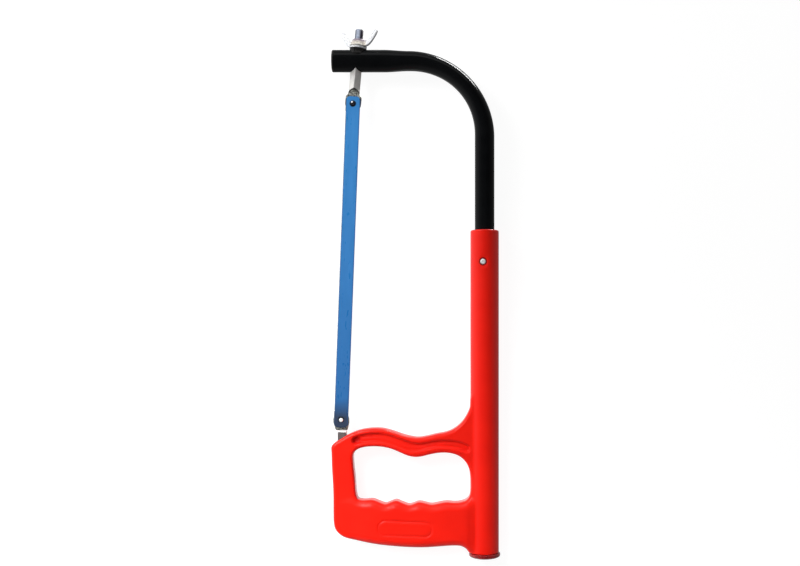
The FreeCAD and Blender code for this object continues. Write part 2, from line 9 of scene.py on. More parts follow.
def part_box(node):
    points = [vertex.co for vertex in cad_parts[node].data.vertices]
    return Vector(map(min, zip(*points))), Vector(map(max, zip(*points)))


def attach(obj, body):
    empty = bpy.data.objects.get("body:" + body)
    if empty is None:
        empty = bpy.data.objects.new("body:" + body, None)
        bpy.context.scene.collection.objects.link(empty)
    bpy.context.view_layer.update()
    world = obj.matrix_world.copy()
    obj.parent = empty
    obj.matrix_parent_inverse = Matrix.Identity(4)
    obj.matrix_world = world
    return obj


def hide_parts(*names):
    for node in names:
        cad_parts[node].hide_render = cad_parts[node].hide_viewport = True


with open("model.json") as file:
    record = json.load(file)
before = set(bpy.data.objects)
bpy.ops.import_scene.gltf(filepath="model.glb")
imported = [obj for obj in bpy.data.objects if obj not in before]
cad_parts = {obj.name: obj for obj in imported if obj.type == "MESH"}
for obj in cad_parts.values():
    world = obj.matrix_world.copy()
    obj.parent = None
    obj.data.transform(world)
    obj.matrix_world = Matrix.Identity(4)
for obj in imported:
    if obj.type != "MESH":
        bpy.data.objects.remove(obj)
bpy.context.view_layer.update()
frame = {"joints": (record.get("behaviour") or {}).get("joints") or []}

# A hacksaw lying on its side. Shapes are worked out in millimetres in a local frame of each piece,
# and placed by a matrix in metres in the CAD's frame.
MM = 0.001
BLADE_LENGTH = 300.0      # between the centres of its holes
PIN_RADIUS = 1.9
GUIDE_TOP = 11.3          # from the arm's axis, as is the nut's seat
WASHER = 1.6              # its thickness
NUT_SEAT = GUIDE_TOP + WASHER + 0.02
BOSS_TOP = 7.4            # the nut's, from its seat
GROOVE_PIT = (-121.2, 113.7)     # in the handle's frame, as is the rivet
RIVET = (-1.9, 282.3)

# -------- where things stand


def middle(node):
    low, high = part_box(node)
    return (low + high) / 2


nut_joint = next(joint for joint in frame["joints"] if joint["name"] == "wing_nut_turn")
ROD_OUT = Vector(nut_joint["axis"]).normalized()
ROD_UP = Vector((0, 0, 1))
ROD_RIGHT = ROD_OUT.cross(ROD_UP)
ROD_ORIGIN = Vector(nut_joint["pos_m"])
LEG_X = middle("end_cap").x
MID_Z = middle("end_cap").z
END_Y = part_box("end_cap")[0].y
UPPER_PIN = middle("upper_blade_pin")
LOWER_PIN = middle("lower_blade_pin")


def placed(origin, x_axis, y_axis, z_axis):
    turn = Matrix((x_axis, y_axis, z_axis)).transposed().to_4x4()
    return Matrix.Translation(origin) @ turn


def shifted(x, y, z):
    """A step in millimetres, as a matrix."""
    return Matrix.Translation(Vector((x, y, z)) * MM)


LEG_FOOT = Vector((LEG_X, END_Y, MID_Z))
ROD_FRAME = placed(ROD_ORIGIN, ROD_UP, ROD_RIGHT, ROD_OUT)
HANDLE_FRAME = Matrix.Translation(LEG_FOOT)
LEG_FRAME = placed(LEG_FOOT, Vector((1, 0, 0)), Vector((0, 0, -1)), Vector((0, 1, 0)))


def level_frame(point):
    return Matrix.Translation(Vector((point.x, point.y, MID_Z)))


# -------- meshes


def linked(name, data):
    thing = bpy.data.objects.new(name, data)
    bpy.context.scene.collection.objects.link(thing)
    return thing


def add_piece(name, vertices, faces, place, body, slot, node, material, smooth_angle=None, own_frame=False):
    """A piece from vertices in millimetres in its own frame. It rides on a body and replaces a node.

    The mesh is moved to its place, unless the piece keeps its own frame for its material's sake."""
    points = np.asarray(vertices, float) * MM
    if not own_frame:
        turn = np.array(place)
        points = points @ turn[:3, :3].T + turn[:3, 3]
        place = Matrix()
    mesh = bpy.data.meshes.new(name)
    mesh.from_pydata(points.tolist(), [], faces)
    mesh.validate()
    mesh.update()
    mesh.polygons.foreach_set("use_smooth", [True] * len(mesh.polygons))
    if smooth_angle is not None:
        mesh.set_sharp_from_angle(angle=math.radians(smooth_angle))
    mesh.materials.append(material)
    piece = linked(name, mesh)
    piece.matrix_world = place
    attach(piece, body)
    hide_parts(node)
    return piece


def merged(first, second):
    """One vertex and face list out of two closed shells."""
    start = len(first[0])
    moved = [tuple(i + start for i in face) for face in second[1]]
    return [*first[0], *second[0]], [*first[1], *moved]


CORNERS = np.array([(x, y, z) for x in (0, 1) for y in (0, 1) for z in (0, 1)])
CELL_EDGES = [
    (a, b) for a in range(8) for b in range(a + 1, 8) if np.abs(CORNERS[a] - CORNERS[b]).sum() == 1
]


def surface_of(distance, low, high, cell):
    """Meshes the surface where distance(x, y, z) is 0, as quads, with surface nets."""
    low = np.array(low, float)
    counts = np.ceil((np.array(high, float) - low) / cell).astype(int) + 1
    x, y, z = (low[a] + cell * np.arange(counts[a]) for a in range(3))
    field = distance(x[:, None, None], y[None, :, None], z[None, None, :])
    field = np.ascontiguousarray(np.broadcast_to(field, tuple(counts)))
    inside = field < 0
    cells = counts - 1
    filled = np.zeros(tuple(cells), np.int8)
    for dx, dy, dz in CORNERS:
        filled += inside[dx:dx + cells[0], dy:dy + cells[1], dz:dz + cells[2]]
    active = (filled > 0) & (filled < len(CORNERS))
    where = np.argwhere(active)
    index = np.full(tuple(cells), -1)
    index[active] = np.arange(len(where))
    values = np.stack([field[tuple((where + corner).T)] for corner in CORNERS], 1)
    total = np.zeros((len(where), 3))
    hits = np.zeros(len(where))
    for a, b in CELL_EDGES:
        start, end = values[:, a], values[:, b]
        crosses = (start < 0) != (end < 0)
        share = np.where(crosses, start / np.where(crosses, start - end, 1.0), 0.0)
        point = CORNERS[a] + share[:, None] * (CORNERS[b] - CORNERS[a])
        total += np.where(crosses[:, None], point, 0.0)
        hits += crosses
    vertices = where + total / hits[:, None]
    faces = []
    for axis in range(3):
        u = (axis + 1) % 3
        v = (axis + 2) % 3
        ahead = np.take(inside, range(1, counts[axis]), axis)
        here = np.take(inside, range(counts[axis] - 1), axis)
        at = np.argwhere(here != ahead)
        at = at[(at[:, u] > 0) & (at[:, v] > 0) & (at[:, u] < cells[u]) & (at[:, v] < cells[v])]
        du = np.eye(3, dtype=int)[u]
        dv = np.eye(3, dtype=int)[v]
        quad = np.stack([index[tuple((at - step).T)] for step in (du + dv, dv, 0 * du, du)], 1)
        outwards = here[tuple(at.T)]
        faces.append(np.where(outwards[:, None], quad, quad[:, ::-1]))
    vertices = settled(vertices, field, counts)
    return low + vertices * cell, np.concatenate(faces).tolist()


def spline_weights(t):
    """Catmull-Rom weights of four neighbours and their slopes."""
    weights = [
        -t ** 3 / 2 + t ** 2 - t / 2, 1.5 * t ** 3 - 2.5 * t ** 2 + 1,
        -1.5 * t ** 3 + 2 * t ** 2 + t / 2, t ** 3 / 2 - t ** 2 / 2,
    ]
    slopes = [
        -1.5 * t ** 2 + 2 * t - 0.5, 4.5 * t ** 2 - 5 * t, -4.5 * t ** 2 + 4 * t + 0.5, 1.5 * t ** 2 - t,
    ]
    return weights, slopes


def settled(points, field, counts):
    """Moves points, in cells, onto the zero surface of the field's smooth interpolation."""
    for _ in range(3):
        base = np.clip(np.floor(points).astype(int), 1, counts - 3)
        pairs = [spline_weights(points[:, a] - base[:, a]) for a in range(3)]
        value = np.zeros(len(points))
        slope = np.zeros((len(points), 3))
        for spot in itertools.product(range(4), repeat=3):
            near = field[tuple((base + spot - 1).T)]
            (wx, sx), (wy, sy), (wz, sz) = ((pair[0][n], pair[1][n]) for pair, n in zip(pairs, spot))
            value += wx * wy * wz * near
            slope[:, 0] += sx * wy * wz * near
            slope[:, 1] += wx * sy * wz * near
            slope[:, 2] += wx * wy * sz * near
        steep = np.maximum((slope ** 2).sum(1), 1e-4)
        step = slope * (value / steep)[:, None]
        points = points - np.clip(step, -0.4, 0.4)
    return points


def smooth_step(value, start, end):
    t = np.clip((value - start) / (end - start), 0.0, 1.0)
    return t * t * (3 - 2 * t)


def soft_min(a, b, reach):
    """Union of two distances, with a fillet of about that reach."""
    blend = np.clip(0.5 + 0.5 * (b - a) / reach, 0.0, 1.0)
    return b + (a - b) * blend - reach * blend * (1 - blend)


def soft_max(a, b, reach):
    return -soft_min(-a, -b, reach)


def rounded_plate(flat, height, radius):
    """A plate with rounded rims: flat is the distance in its plane, height that across it."""
    a = flat + radius
    b = height + radius
    return np.minimum(np.maximum(a, b), 0) + np.hypot(np.maximum(a, 0), np.maximum(b, 0)) - radius


def softened(flat, passes):
    """A field of the plane, blurred by that many passes over neighbouring cells."""
    for _ in range(passes):
        for axis in (0, 1):
            flat = np.pad(flat, [(1, 1) if a == axis else (0, 0) for a in range(flat.ndim)], "edge")
            count = flat.shape[axis]
            parts = [np.take(flat, range(i, count - 2 + i), axis) for i in range(3)]
            flat = (parts[0] + 2 * parts[1] + parts[2]) / 4
    return flat


def smooth_line(points, closed, steps=6):
    """A centripetal Catmull-Rom line through the points."""
    points = [np.array(p, float) for p in points]
    if closed:
        points = [points[-1], *points, points[0], points[1]]
    else:
        points = [2 * points[0] - points[1], *points, 2 * points[-1] - points[-2]]
    line = []
    for p0, p1, p2, p3 in zip(points, points[1:], points[2:], points[3:]):
        t1 = np.linalg.norm(p1 - p0) ** 0.5
        t2 = t1 + np.linalg.norm(p2 - p1) ** 0.5
        t3 = t2 + np.linalg.norm(p3 - p2) ** 0.5
        for step in range(steps):
            t = t1 + (t2 - t1) * step / steps
            a1 = p0 * (t1 - t) / t1 + p1 * t / t1
            a2 = p1 * (t2 - t) / (t2 - t1) + p2 * (t - t1) / (t2 - t1)
            a3 = p2 * (t3 - t) / (t3 - t2) + p3 * (t - t2) / (t3 - t2)
            b1 = a1 * (t2 - t) / t2 + a2 * t / t2
            b2 = a2 * (t3 - t) / (t3 - t1) + a3 * (t - t1) / (t3 - t1)
            line.append(b1 * (t2 - t) / (t2 - t1) + b2 * (t - t1) / (t2 - t1))
    if not closed:
        line.append(points[-2])
    return line


def line_distance(x, y, points, closed=True):
    """Distance from the smooth line through points in the plane; inside a closed line it is negative."""
    line = smooth_line(points, closed)
    ends = line[1:] + line[:1] if closed else line[1:]
    nearest = np.full(np.broadcast(x, y).shape, 1e9)
    inside = np.zeros(nearest.shape, bool)
    for (ax, ay), (bx, by) in zip(line, ends):
        ex, ey = bx - ax, by - ay
        share = np.clip(((x - ax) * ex + (y - ay) * ey) / (ex * ex + ey * ey + 1e-12), 0, 1)
        gap = (x - ax - share * ex) ** 2 + (y - ay - share * ey) ** 2
        nearest = np.minimum(nearest, gap)
        if closed and ay != by:
            inside ^= ((ay > y) != (by > y)) & (x < ex * (y - ay) / ey + ax)
    nearest = np.sqrt(nearest)
    return np.where(inside, -nearest, nearest)


def numbered(rings, length):
    """Vertex numbers of so many rings of equal length, one after another."""
    return [[ring * length + i for i in range(length)] for ring in range(rings)]


def strung(rings, closed=False):
    """Faces between rings of vertex numbers. A ring of one is a point that a fan meets in."""
    faces = []
    for below, above in zip(rings, rings[1:] + (rings[:1] if closed else [])):
        count = max(len(below), len(above))
        for step in range(count):
            after = (step + 1) % count
            spots = ((below, step), (below, after), (above, after), (above, step))
            faces.append(tuple(dict.fromkeys(ring[i % len(ring)] for ring, i in spots)))
    return faces


def turned(profile, segments=64, waves=None):
    """Turns a profile of (radius, height), from axis to axis or a closed loop, round Z.

    waves(height, angle) may give a ring's radius instead."""
    vertices = []
    rings = []
    for radius, height in profile:
        count = segments if radius > 0 else 1
        rings.append(list(range(len(vertices), len(vertices) + count)))
        for step in range(count):
            angle = 2 * math.pi * step / segments
            reach = waves(height, angle) if waves and radius > 0 else radius
            vertices.append((reach * math.cos(angle), reach * math.sin(angle), height))
    return vertices, strung(rings, closed=profile[0][0] > 0 and profile[-1][0] > 0)


def rounded_profile(corners, steps=5):
    """A profile whose corners (radius, height, rounding) are rounded off."""
    profile = []
    for number, (radius, height, rounding) in enumerate(corners):
        corner = np.array((radius, height), float)
        if rounding <= 0 or number in (0, len(corners) - 1):
            profile.append(tuple(corner))
            continue
        before = np.array(corners[number - 1][:2], float) - corner
        after = np.array(corners[number + 1][:2], float) - corner
        start = corner + before / np.linalg.norm(before) * rounding
        end = corner + after / np.linalg.norm(after) * rounding
        for step in range(steps + 1):
            t = step / steps
            profile.append(tuple(start * (1 - t) ** 2 + corner * 2 * t * (1 - t) + end * t ** 2))
    return profile


# -------- materials


class Nodes:
    """Builds the nodes of a material or a world."""

    def __init__(self, tree):
        self.tree = tree

    def join(self, source, target):
        self.tree.links.new(source, target)

    def add(self, kind, inputs=None, **settings):
        """A node. Its inputs are numbers, vectors, colours or outputs of other nodes."""
        node = self.tree.nodes.new(kind)
        for key, value in settings.items():
            setattr(node, key, value)
        for key, value in (inputs or {}).items():
            if isinstance(value, bpy.types.NodeSocket):
                self.join(value, node.inputs[key])
            else:
                node.inputs[key].default_value = value
        return node

    def mapped(self, value, low, high, to_low=0.0, to_high=1.0):
        inputs = {"Value": value, "From Min": low, "From Max": high, "To Min": to_low, "To Max": to_high}
        return self.add("ShaderNodeMapRange", inputs).outputs["Result"]

    def ramp(self, value, *stops):
        node = self.add("ShaderNodeValToRGB", {"Fac": value})
        elements = node.color_ramp.elements
        while len(elements) < len(stops):
            elements.new(0.5)
        for element, (position, color) in zip(elements, stops):
            element.position = position
            element.color = (*color, 1)
        return node.outputs["Color"]


class Finish(Nodes):
    """A Principled material built from procedural nodes in the piece's own coordinates."""

    def __init__(self, name, **sockets):
        self.material = bpy.data.materials.new(name)
        self.material.use_nodes = True
        super().__init__(self.material.node_tree)
        self.shader = self.tree.nodes["Principled BSDF"]
        for socket, value in sockets.items():
            self.shader.inputs[socket.replace("_", " ")].default_value = value
        self.place = self.add("ShaderNodeTexCoord").outputs["Object"]
        self.height = None

    def stretched(self, x, y, z):
        return self.add("ShaderNodeMapping", {"Vector": self.place, "Scale": (x, y, z)}).outputs["Vector"]

    def noise(self, scale, detail=3.0, roughness=0.5, place=None):
        inputs = {"Scale": scale, "Detail": detail, "Roughness": roughness, "Vector": place or self.place}
        return self.add("ShaderNodeTexNoise", inputs).outputs["Fac"]

    def axis(self, name):
        return self.add("ShaderNodeSeparateXYZ", {"Vector": self.place}).outputs[name]

    def math(self, operation, a, b=0.0):
        return self.add("ShaderNodeMath", {0: a, 1: b}, operation=operation).outputs["Value"]

    def reach(self, x, y):
        """Distance in the plane from a point."""
        sides = [self.math("SUBTRACT", self.axis("X"), x), self.math("SUBTRACT", self.axis("Y"), y)]
        return self.math("SQRT", self.math("ADD", *[self.math("MULTIPLY", side, side) for side in sides]))

    def along(self, origin, direction):
        """How far a point lies from the origin along the direction."""
        from_origin = self.add("ShaderNodeVectorMath", {0: self.place, 1: origin}, operation="SUBTRACT")
        factors = {0: from_origin.outputs["Vector"], 1: direction}
        return self.add("ShaderNodeVectorMath", factors, operation="DOT_PRODUCT").outputs["Value"]

    def mixed(self, share, first, second):
        node = self.add("ShaderNodeMix", data_type="RGBA")
        base, top = (socket for socket in node.inputs if socket.type == "RGBA")
        self.join(share, node.inputs["Factor"])
        self.join(first, base)
        if isinstance(second, tuple):
            top.default_value = (*second, 1)
        else:
            self.join(second, top)
        return next(socket for socket in node.outputs if socket.type == "RGBA")

    def color(self, source):
        self.join(source, self.shader.inputs["Base Color"])

    def rough(self, grain, low, high, start=0.3, full=0.7):
        self.join(self.mapped(grain, start, full, low, high), self.shader.inputs["Roughness"])

    def metallic(self, share, low, high):
        self.join(self.mapped(share, 0.0, 1.0, low, high), self.shader.inputs["Metallic"])

    def bump(self, height, depth, strength=1.0):
        """Adds relief of that depth in metres, on top of any relief that is there."""
        node = self.add("ShaderNodeBump", {"Strength": strength, "Distance": depth, "Height": height})
        if self.height:
            self.join(self.height, node.inputs["Normal"])
        self.height = node.outputs["Normal"]
        self.join(self.height, self.shader.inputs["Normal"])


def red_plastic():
    """Red, with painted shade in the pit of the bow's groove and in a ring round the rivet."""
    finish = Finish("handle_red_gloss", Specular_IOR_Level=0.3, Coat_Weight=0.05, Coat_Roughness=0.08)
    cloud = finish.noise(30.0, 2.0)
    red = finish.ramp(cloud, (0.3, (0.88, 0.0100, 0.0034)), (0.7, (0.94, 0.0130, 0.0046)))
    # Painted shade in the pit at the groove's left end.
    from_pit = finish.reach(LEG_X + GROOVE_PIT[0] * MM, END_Y + GROOVE_PIT[1] * MM)
    pit_painted_shade = finish.mixed(finish.mapped(from_pit, 0.0026, 0.0046, 0.85, 0.0), red, (0.50, 0.002, 0.001))
    # Painted shade in a ring round the rivet, over its recess.
    from_rivet = finish.reach(LEG_X + RIVET[0] * MM, END_Y + RIVET[1] * MM)
    ring = finish.mapped(from_rivet, 0.0033, 0.0042, 0.9, 0.0)
    finish.color(finish.mixed(ring, pit_painted_shade, (0.10, 0.002, 0.002)))
    scuffs = finish.noise(700.0, 2.0, place=finish.stretched(0.3, 1.0, 0.6))
    finish.rough(scuffs, 0.29, 0.34, 0.35, 0.75)
    finish.bump(finish.noise(90.0, 2.0), 0.00006, 0.30)
    finish.bump(finish.noise(2400.0, 1.0), 0.000006, 0.30)
    return finish.material


def clouded(name, cloud, dark, bright, grain, shine, relief, depth, strength, bright_at=0.7, **sockets):
    """A finish whose colour, roughness and relief each follow a noise of (scale, detail)."""
    finish = Finish(name, **sockets)
    finish.color(finish.ramp(finish.noise(*cloud), (0.3, dark), (bright_at, bright)))
    finish.rough(finish.noise(*grain), *shine)
    finish.bump(finish.noise(*relief), depth, strength)
    return finish.material


def zinc_plate():
    """Bright zinc. The wing nut's boss has bands of painted shade and reflection: dark grey at its foot, tan
    low down and purplish at the top.
    """
    finish = Finish("bright_zinc", Metallic=0.3)
    cloud = finish.noise(330.0, 4.0, 0.6)
    plate = finish.ramp(
        cloud, (0.25, (0.76, 0.78, 0.82)), (0.6, (0.87, 0.88, 0.90)), (0.85, (0.90, 0.88, 0.85))
    )
    up_rod = finish.along(ROD_ORIGIN, ROD_OUT)
    height = finish.math("ADD", up_rod, finish.mapped(cloud, 0.3, 0.7, -0.0004, 0.0004))
    # Painted shade and reflection on the wing nut's boss, in bands along the rod.
    boss_painted_shading = finish.ramp(
        finish.mapped(height, NUT_SEAT * MM, (NUT_SEAT + BOSS_TOP) * MM),
        (0.0, (0.20, 0.20, 0.19)), (0.12, (0.50, 0.48, 0.43)), (0.3, (0.74, 0.68, 0.58)),
        (0.6, (0.55, 0.49, 0.44)), (0.75, (0.24, 0.18, 0.23)), (1.0, (0.20, 0.15, 0.20)),
    )
    beside = finish.math("ABSOLUTE", finish.along(ROD_ORIGIN, ROD_RIGHT))
    boss = finish.math("MULTIPLY", finish.mapped(beside, 0.0072, 0.0082, 0.9, 0.0),
                       finish.mapped(height, (NUT_SEAT - 0.4) * MM, NUT_SEAT * MM))
    finish.color(finish.mixed(boss, plate, boss_painted_shading))
    finish.rough(finish.noise(700.0), 0.20, 0.36)
    finish.bump(finish.noise(1200.0, 2.0), 0.00004, 0.5)
    return finish.material


def forged_steel(name, bright, dull, eye, arch=None, band=None, stud_from=None):
    """Plated steel, with painted shade in the eye (x, y) round its pin.

    An arch (x, y, radius) marks the milled pocket: a line of painted shade follows its edge, inside it the
    steel is dull, and towards the pin it is nearly black as painted shade. A band (low, high) in Y is a
    white painted highlight, with dull steel on the pin's side of it.
    Beyond stud_from along the rod the steel is bluish grey, with painted shading across it: light in the
    middle and dark at both sides, darkest at its right."""
    finish = Finish(name, Metallic=0.7)
    cloud = finish.noise(260.0, 4.0, 0.6)
    steel = finish.ramp(cloud, (0.25, tuple(0.82 * c for c in bright)), (0.7, bright))
    spots = finish.ramp(finish.noise(520.0, 3.0, 0.6), (0.38, tuple(0.2 * c for c in dull)), (0.6, dull))
    if arch:
        x, y, radius = arch
        reach = finish.reach(x, y)
        ahead = finish.math("SUBTRACT", finish.axis("Y"), y)
        off = finish.math("ABSOLUTE", finish.math("SUBTRACT", reach, radius))
        # A line of painted shade along the milled pocket's edge.
        line = finish.math("MULTIPLY", finish.mapped(off, 0.0003, 0.0007, 0.92, 0.0),
                           finish.mapped(ahead, -0.0015, 0.0005))
        past = finish.math("MULTIPLY", finish.mapped(reach, radius - 0.0003, radius + 0.0003),
                           finish.mapped(ahead, -0.0002, 0.0002))
        steel = finish.mixed(line, finish.mixed(past, spots, steel), (0.018, 0.017, 0.015))
        # Painted shade: below the pocket, towards the pin, the spade is nearly black.
        steel = finish.mixed(finish.mapped(ahead, -0.0045, -0.0030, 0.9, 0.0), steel, (0.035, 0.033, 0.035))
    if band:
        low, high = band
        along = finish.math("ADD", finish.axis("Y"), finish.mapped(cloud, 0.3, 0.7, -0.0003, 0.0003))
        steel = finish.mixed(finish.mapped(along, high - 0.0003, high), steel, spots)
        # A band of painted highlight: white and less metallic.
        band_painted_highlight = finish.math("MULTIPLY", finish.mapped(along, low, low + 0.0003),
                          finish.mapped(along, high - 0.0003, high, 1.0, 0.0))
        steel = finish.mixed(band_painted_highlight, steel, (0.98, 0.98, 0.98))
        finish.metallic(band_painted_highlight, 0.7, 0.1)
    if stud_from:
        beside = finish.mapped(finish.along(ROD_ORIGIN, ROD_RIGHT), -0.004, 0.004)
        # Painted shading across the stud: a painted highlight in the middle, dark at both sides.
        stud_painted_shading = finish.ramp(
            beside, (0.0, (0.06, 0.07, 0.11)), (0.14, (0.20, 0.23, 0.30)), (0.30, (0.60, 0.66, 0.78)),
            (0.60, (0.62, 0.67, 0.78)), (0.74, (0.07, 0.06, 0.09)), (1.0, (0.03, 0.02, 0.03)),
        )
        out = finish.mapped(finish.along(ROD_ORIGIN, ROD_OUT), stud_from, stud_from + 0.0003)
        steel = finish.mixed(out, steel, stud_painted_shading)
        finish.metallic(out, 0.7, 0.25)
    # Painted shade in the eye round the pin.
    eye_painted_shade = finish.mapped(finish.reach(*eye), 0.0028, 0.0032, 0.95, 0.0)
    finish.color(finish.mixed(eye_painted_shade, steel, (0.010, 0.010, 0.012)))
    drawn = finish.noise(1400.0, place=finish.stretched(1.0, 0.06, 1.0))
    finish.rough(drawn, 0.30, 0.46)
    finish.bump(drawn, 0.00003, 0.6)
    finish.bump(finish.noise(420.0), 0.00005, 0.4)
    return finish.material


def shaded_pin_steel():
    """The upper pin's steel, darkened as painted shade, with a painted highlight at its upper left."""
    finish = Finish("pin_steel_painted_shade", Metallic=1.0)
    # Dark steel as painted shade: the lower pin, of the same steel, is white.
    steel = finish.ramp(finish.noise(800.0), (0.3, (0.10, 0.09, 0.10)), (0.7, (0.24, 0.23, 0.24)))
    # A painted highlight at the pin's upper left.
    from_spot = finish.reach(UPPER_PIN.x - 0.8 * MM, UPPER_PIN.y + 0.7 * MM)
    pin_painted_highlight = finish.mapped(from_spot, 0.0006, 0.0011, 1.0, 0.0)
    finish.color(finish.mixed(pin_painted_highlight, steel, (0.98, 0.98, 0.98)))
    finish.metallic(pin_painted_highlight, 1.0, 0.1)
    finish.rough(finish.noise(1500.0, 2.0), 0.16, 0.28)
    finish.bump(finish.noise(2500.0, 2.0), 0.00002, 0.5)
    return finish.material


def blade_enamel():
    """Blue, in the blade's own frame: deeper towards the lower hole and darker at the rims, with painted
    shade at its lower end and in a ring round each hole.
    """
    finish = Finish("blade_blue_enamel", Specular_IOR_Level=0.5, Coat_Weight=0.2, Coat_Roughness=0.2)
    along = finish.axis("Y")
    across = finish.axis("X")
    cloud = finish.noise(160.0, 4.0, place=finish.stretched(1.0, 0.15, 1.0))
    blue = finish.ramp(cloud, (0.3, (0.036, 0.218, 0.55)), (0.7, (0.046, 0.252, 0.62)))
    far = finish.mapped(along, -0.290, -0.040, 0.85, 0.0)
    deeper = finish.mixed(far, blue, (0.020, 0.105, 0.30))
    # Painted shade at the blade's lower end, with a ragged edge.
    ragged = finish.math("ADD", along, finish.mapped(cloud, 0, 1, -0.003, 0.003))
    foot = finish.mapped(ragged, -0.2985, -0.280, 1.0, 0.0)
    foot_painted_shade = finish.mixed(foot, deeper, (0.030, 0.045, 0.085))
    rim = finish.mapped(finish.math("ABSOLUTE", across), 0.0056, 0.0066, 0.0, 0.7)
    rimmed = finish.mixed(rim, foot_painted_shade, (0.020, 0.075, 0.20))
    bare = finish.mapped(across, -0.0063, -0.0062, 1.0, 0.0)
    toothed = finish.mixed(bare, rimmed, (0.09, 0.12, 0.17))
    # Painted shade in a ring round each hole.
    nearest = finish.math("MINIMUM", finish.reach(0.0, 0.0), finish.reach(0.0, -BLADE_LENGTH * MM))
    hole_painted_shade = finish.mapped(nearest, 0.0029, 0.0034, 0.9, 0.0)
    finish.color(finish.mixed(hole_painted_shade, toothed, (0.006, 0.010, 0.020)))
    drawn = finish.noise(600.0, place=finish.stretched(1.0, 0.2, 1.0))
    finish.rough(drawn, 0.26, 0.42)
    finish.bump(finish.noise(900.0, 2.0, place=finish.stretched(1.0, 0.3, 1.0)), 0.00002, 0.5)
    return finish.material


def studio_floor():
    """Pale paper that is bright of itself, so that shadows on it stay faint."""
    finish = Finish(
        "studio_floor", Specular_IOR_Level=0.1, Emission_Color=(1, 1, 1, 1), Emission_Strength=0.92
    )
    cloud = finish.noise(3.0, 2.0)
    finish.color(finish.ramp(cloud, (0.3, (0.19, 0.19, 0.19)), (0.7, (0.21, 0.21, 0.21))))
    finish.rough(cloud, 0.75, 0.85)
    finish.bump(finish.noise(900.0, 1.0), 0.00002, 0.2)
    return finish.material


ZINC = zinc_plate()
# The lower pin's steel, white as painted light; the upper pin is of the same steel, darkened.
LIT_PIN_STEEL = clouded(
    "pin_steel_painted_light", (800, 3), (0.93, 0.93, 0.93), (0.98, 0.98, 0.98), (1500, 2), (0.16, 0.28),
    (2500, 2), 0.00002, 0.5, Metallic=0.2,
)
CAP_PLASTIC = clouded(
    "cap_red_gloss", (220, 3), (0.15, 0.002, 0.003), (0.36, 0.005, 0.006), (500, 2), (0.16, 0.32),
    (420, 3), 0.0002, 0.7, Specular_IOR_Level=0.6, Coat_Weight=0.5, Coat_Roughness=0.08,
)
BLACK_ENAMEL = clouded(
    "frame_black_enamel", (60, 3), (0.0028, 0.0031, 0.0037), (0.0048, 0.0052, 0.0059), (300, 3),
    (0.13, 0.19), (500, 2), 0.00001, 0.3, Specular_IOR_Level=0.08, Coat_Weight=0.03, Coat_Roughness=0.10,
)
GUIDE_BLACK = clouded(
    "guide_black_satin", (500, 3), (0.006, 0.0055, 0.0055), (0.014, 0.013, 0.013), (900, 2),
    (0.28, 0.45), (1500, 2), 0.00003, 0.6, bright_at=0.75, Specular_IOR_Level=0.3,
)
PLUG_PLASTIC = clouded(
    "plug_black_plastic", (400, 2), (0.007, 0.007, 0.007), (0.014, 0.013, 0.013), (1100, 2),
    (0.38, 0.55), (2400, 2), 0.00003, 0.7, Specular_IOR_Level=0.3,
)
RIVET_ALUMINIUM = clouded(
    "rivet_aluminium_bright", (900, 3), (0.93, 0.93, 0.93), (0.99, 0.99, 0.99), (1800, 2),
    (0.22, 0.36), (2400, 2), 0.00002, 0.5, Metallic=0.1,
)
MANDREL_STEEL = clouded(
    "mandrel_dull_steel", (1200, 3), (0.66, 0.65, 0.65), (0.82, 0.81, 0.81), (2200, 2),
    (0.40, 0.60), (2600, 2), 0.00003, 0.5, Metallic=0.3,
)

# -------- handle, in its own frame

# Lines in the handle's plane, measured from the sleeve's axis and the end cap's outer face.
OUTLINE = [
    (-6, 160), (-12.4, 155), (-14, 144.7), (-16.9, 137.9), (-21.4, 131), (-28.3, 124.9),
    (-35.4, 121.5), (-45.8, 119.4), (-56, 117), (-63.8, 116.1), (-75.5, 118.2), (-86.7, 122),
    (-95.8, 124.4), (-102.7, 125), (-110.5, 124.6), (-120.5, 122.4), (-130, 118.4), (-139, 113),
    (-143.4, 110), (-145.1, 107.2), (-145, 102), (-144.5, 87.3), (-143.3, 64.7), (-143.1, 44),
    (-142.9, 37.3), (-141.6, 30.3), (-138.2, 25.7), (-133, 22.2), (-121, 19.3), (-103.9, 15.9),
    (-86.7, 13.9), (-69.4, 12.8), (-56, 12.7), (-41, 13.7), (-29.7, 14.4), (-22.5, 13.9),
    (-17.6, 11.3), (-13.8, 7), (-6, 6.6),
]
OPENING = [
    (-13.4, 64), (-13.4, 79), (-15.7, 88.7), (-19.1, 94.3), (-25, 99), (-31.6, 101.2),
    (-38.6, 101.9), (-45.8, 101.4), (-52.4, 100.1), (-60.3, 98.2), (-66.1, 97.8), (-73, 99.1),
    (-80.9, 102.4), (-88.9, 105.6), (-98.1, 107.5), (-107.2, 107.8), (-115.3, 106.9), (-121, 104.6),
    (-124.3, 100.8), (-124.6, 94), (-123, 78), (-121.8, 63), (-120.2, 57.8), (-115, 56.6),
    (-106.1, 57), (-100, 54.8), (-94.1, 52.9), (-89, 54.6), (-83.8, 56.3), (-78, 54),
    (-71.7, 52), (-67, 53.2), (-62.6, 54.8), (-56.5, 53.7), (-50.5, 52.4), (-43.5, 53.6),
    (-36.3, 54.8), (-29, 54.2), (-22.5, 54.8), (-16.2, 57.6),
]
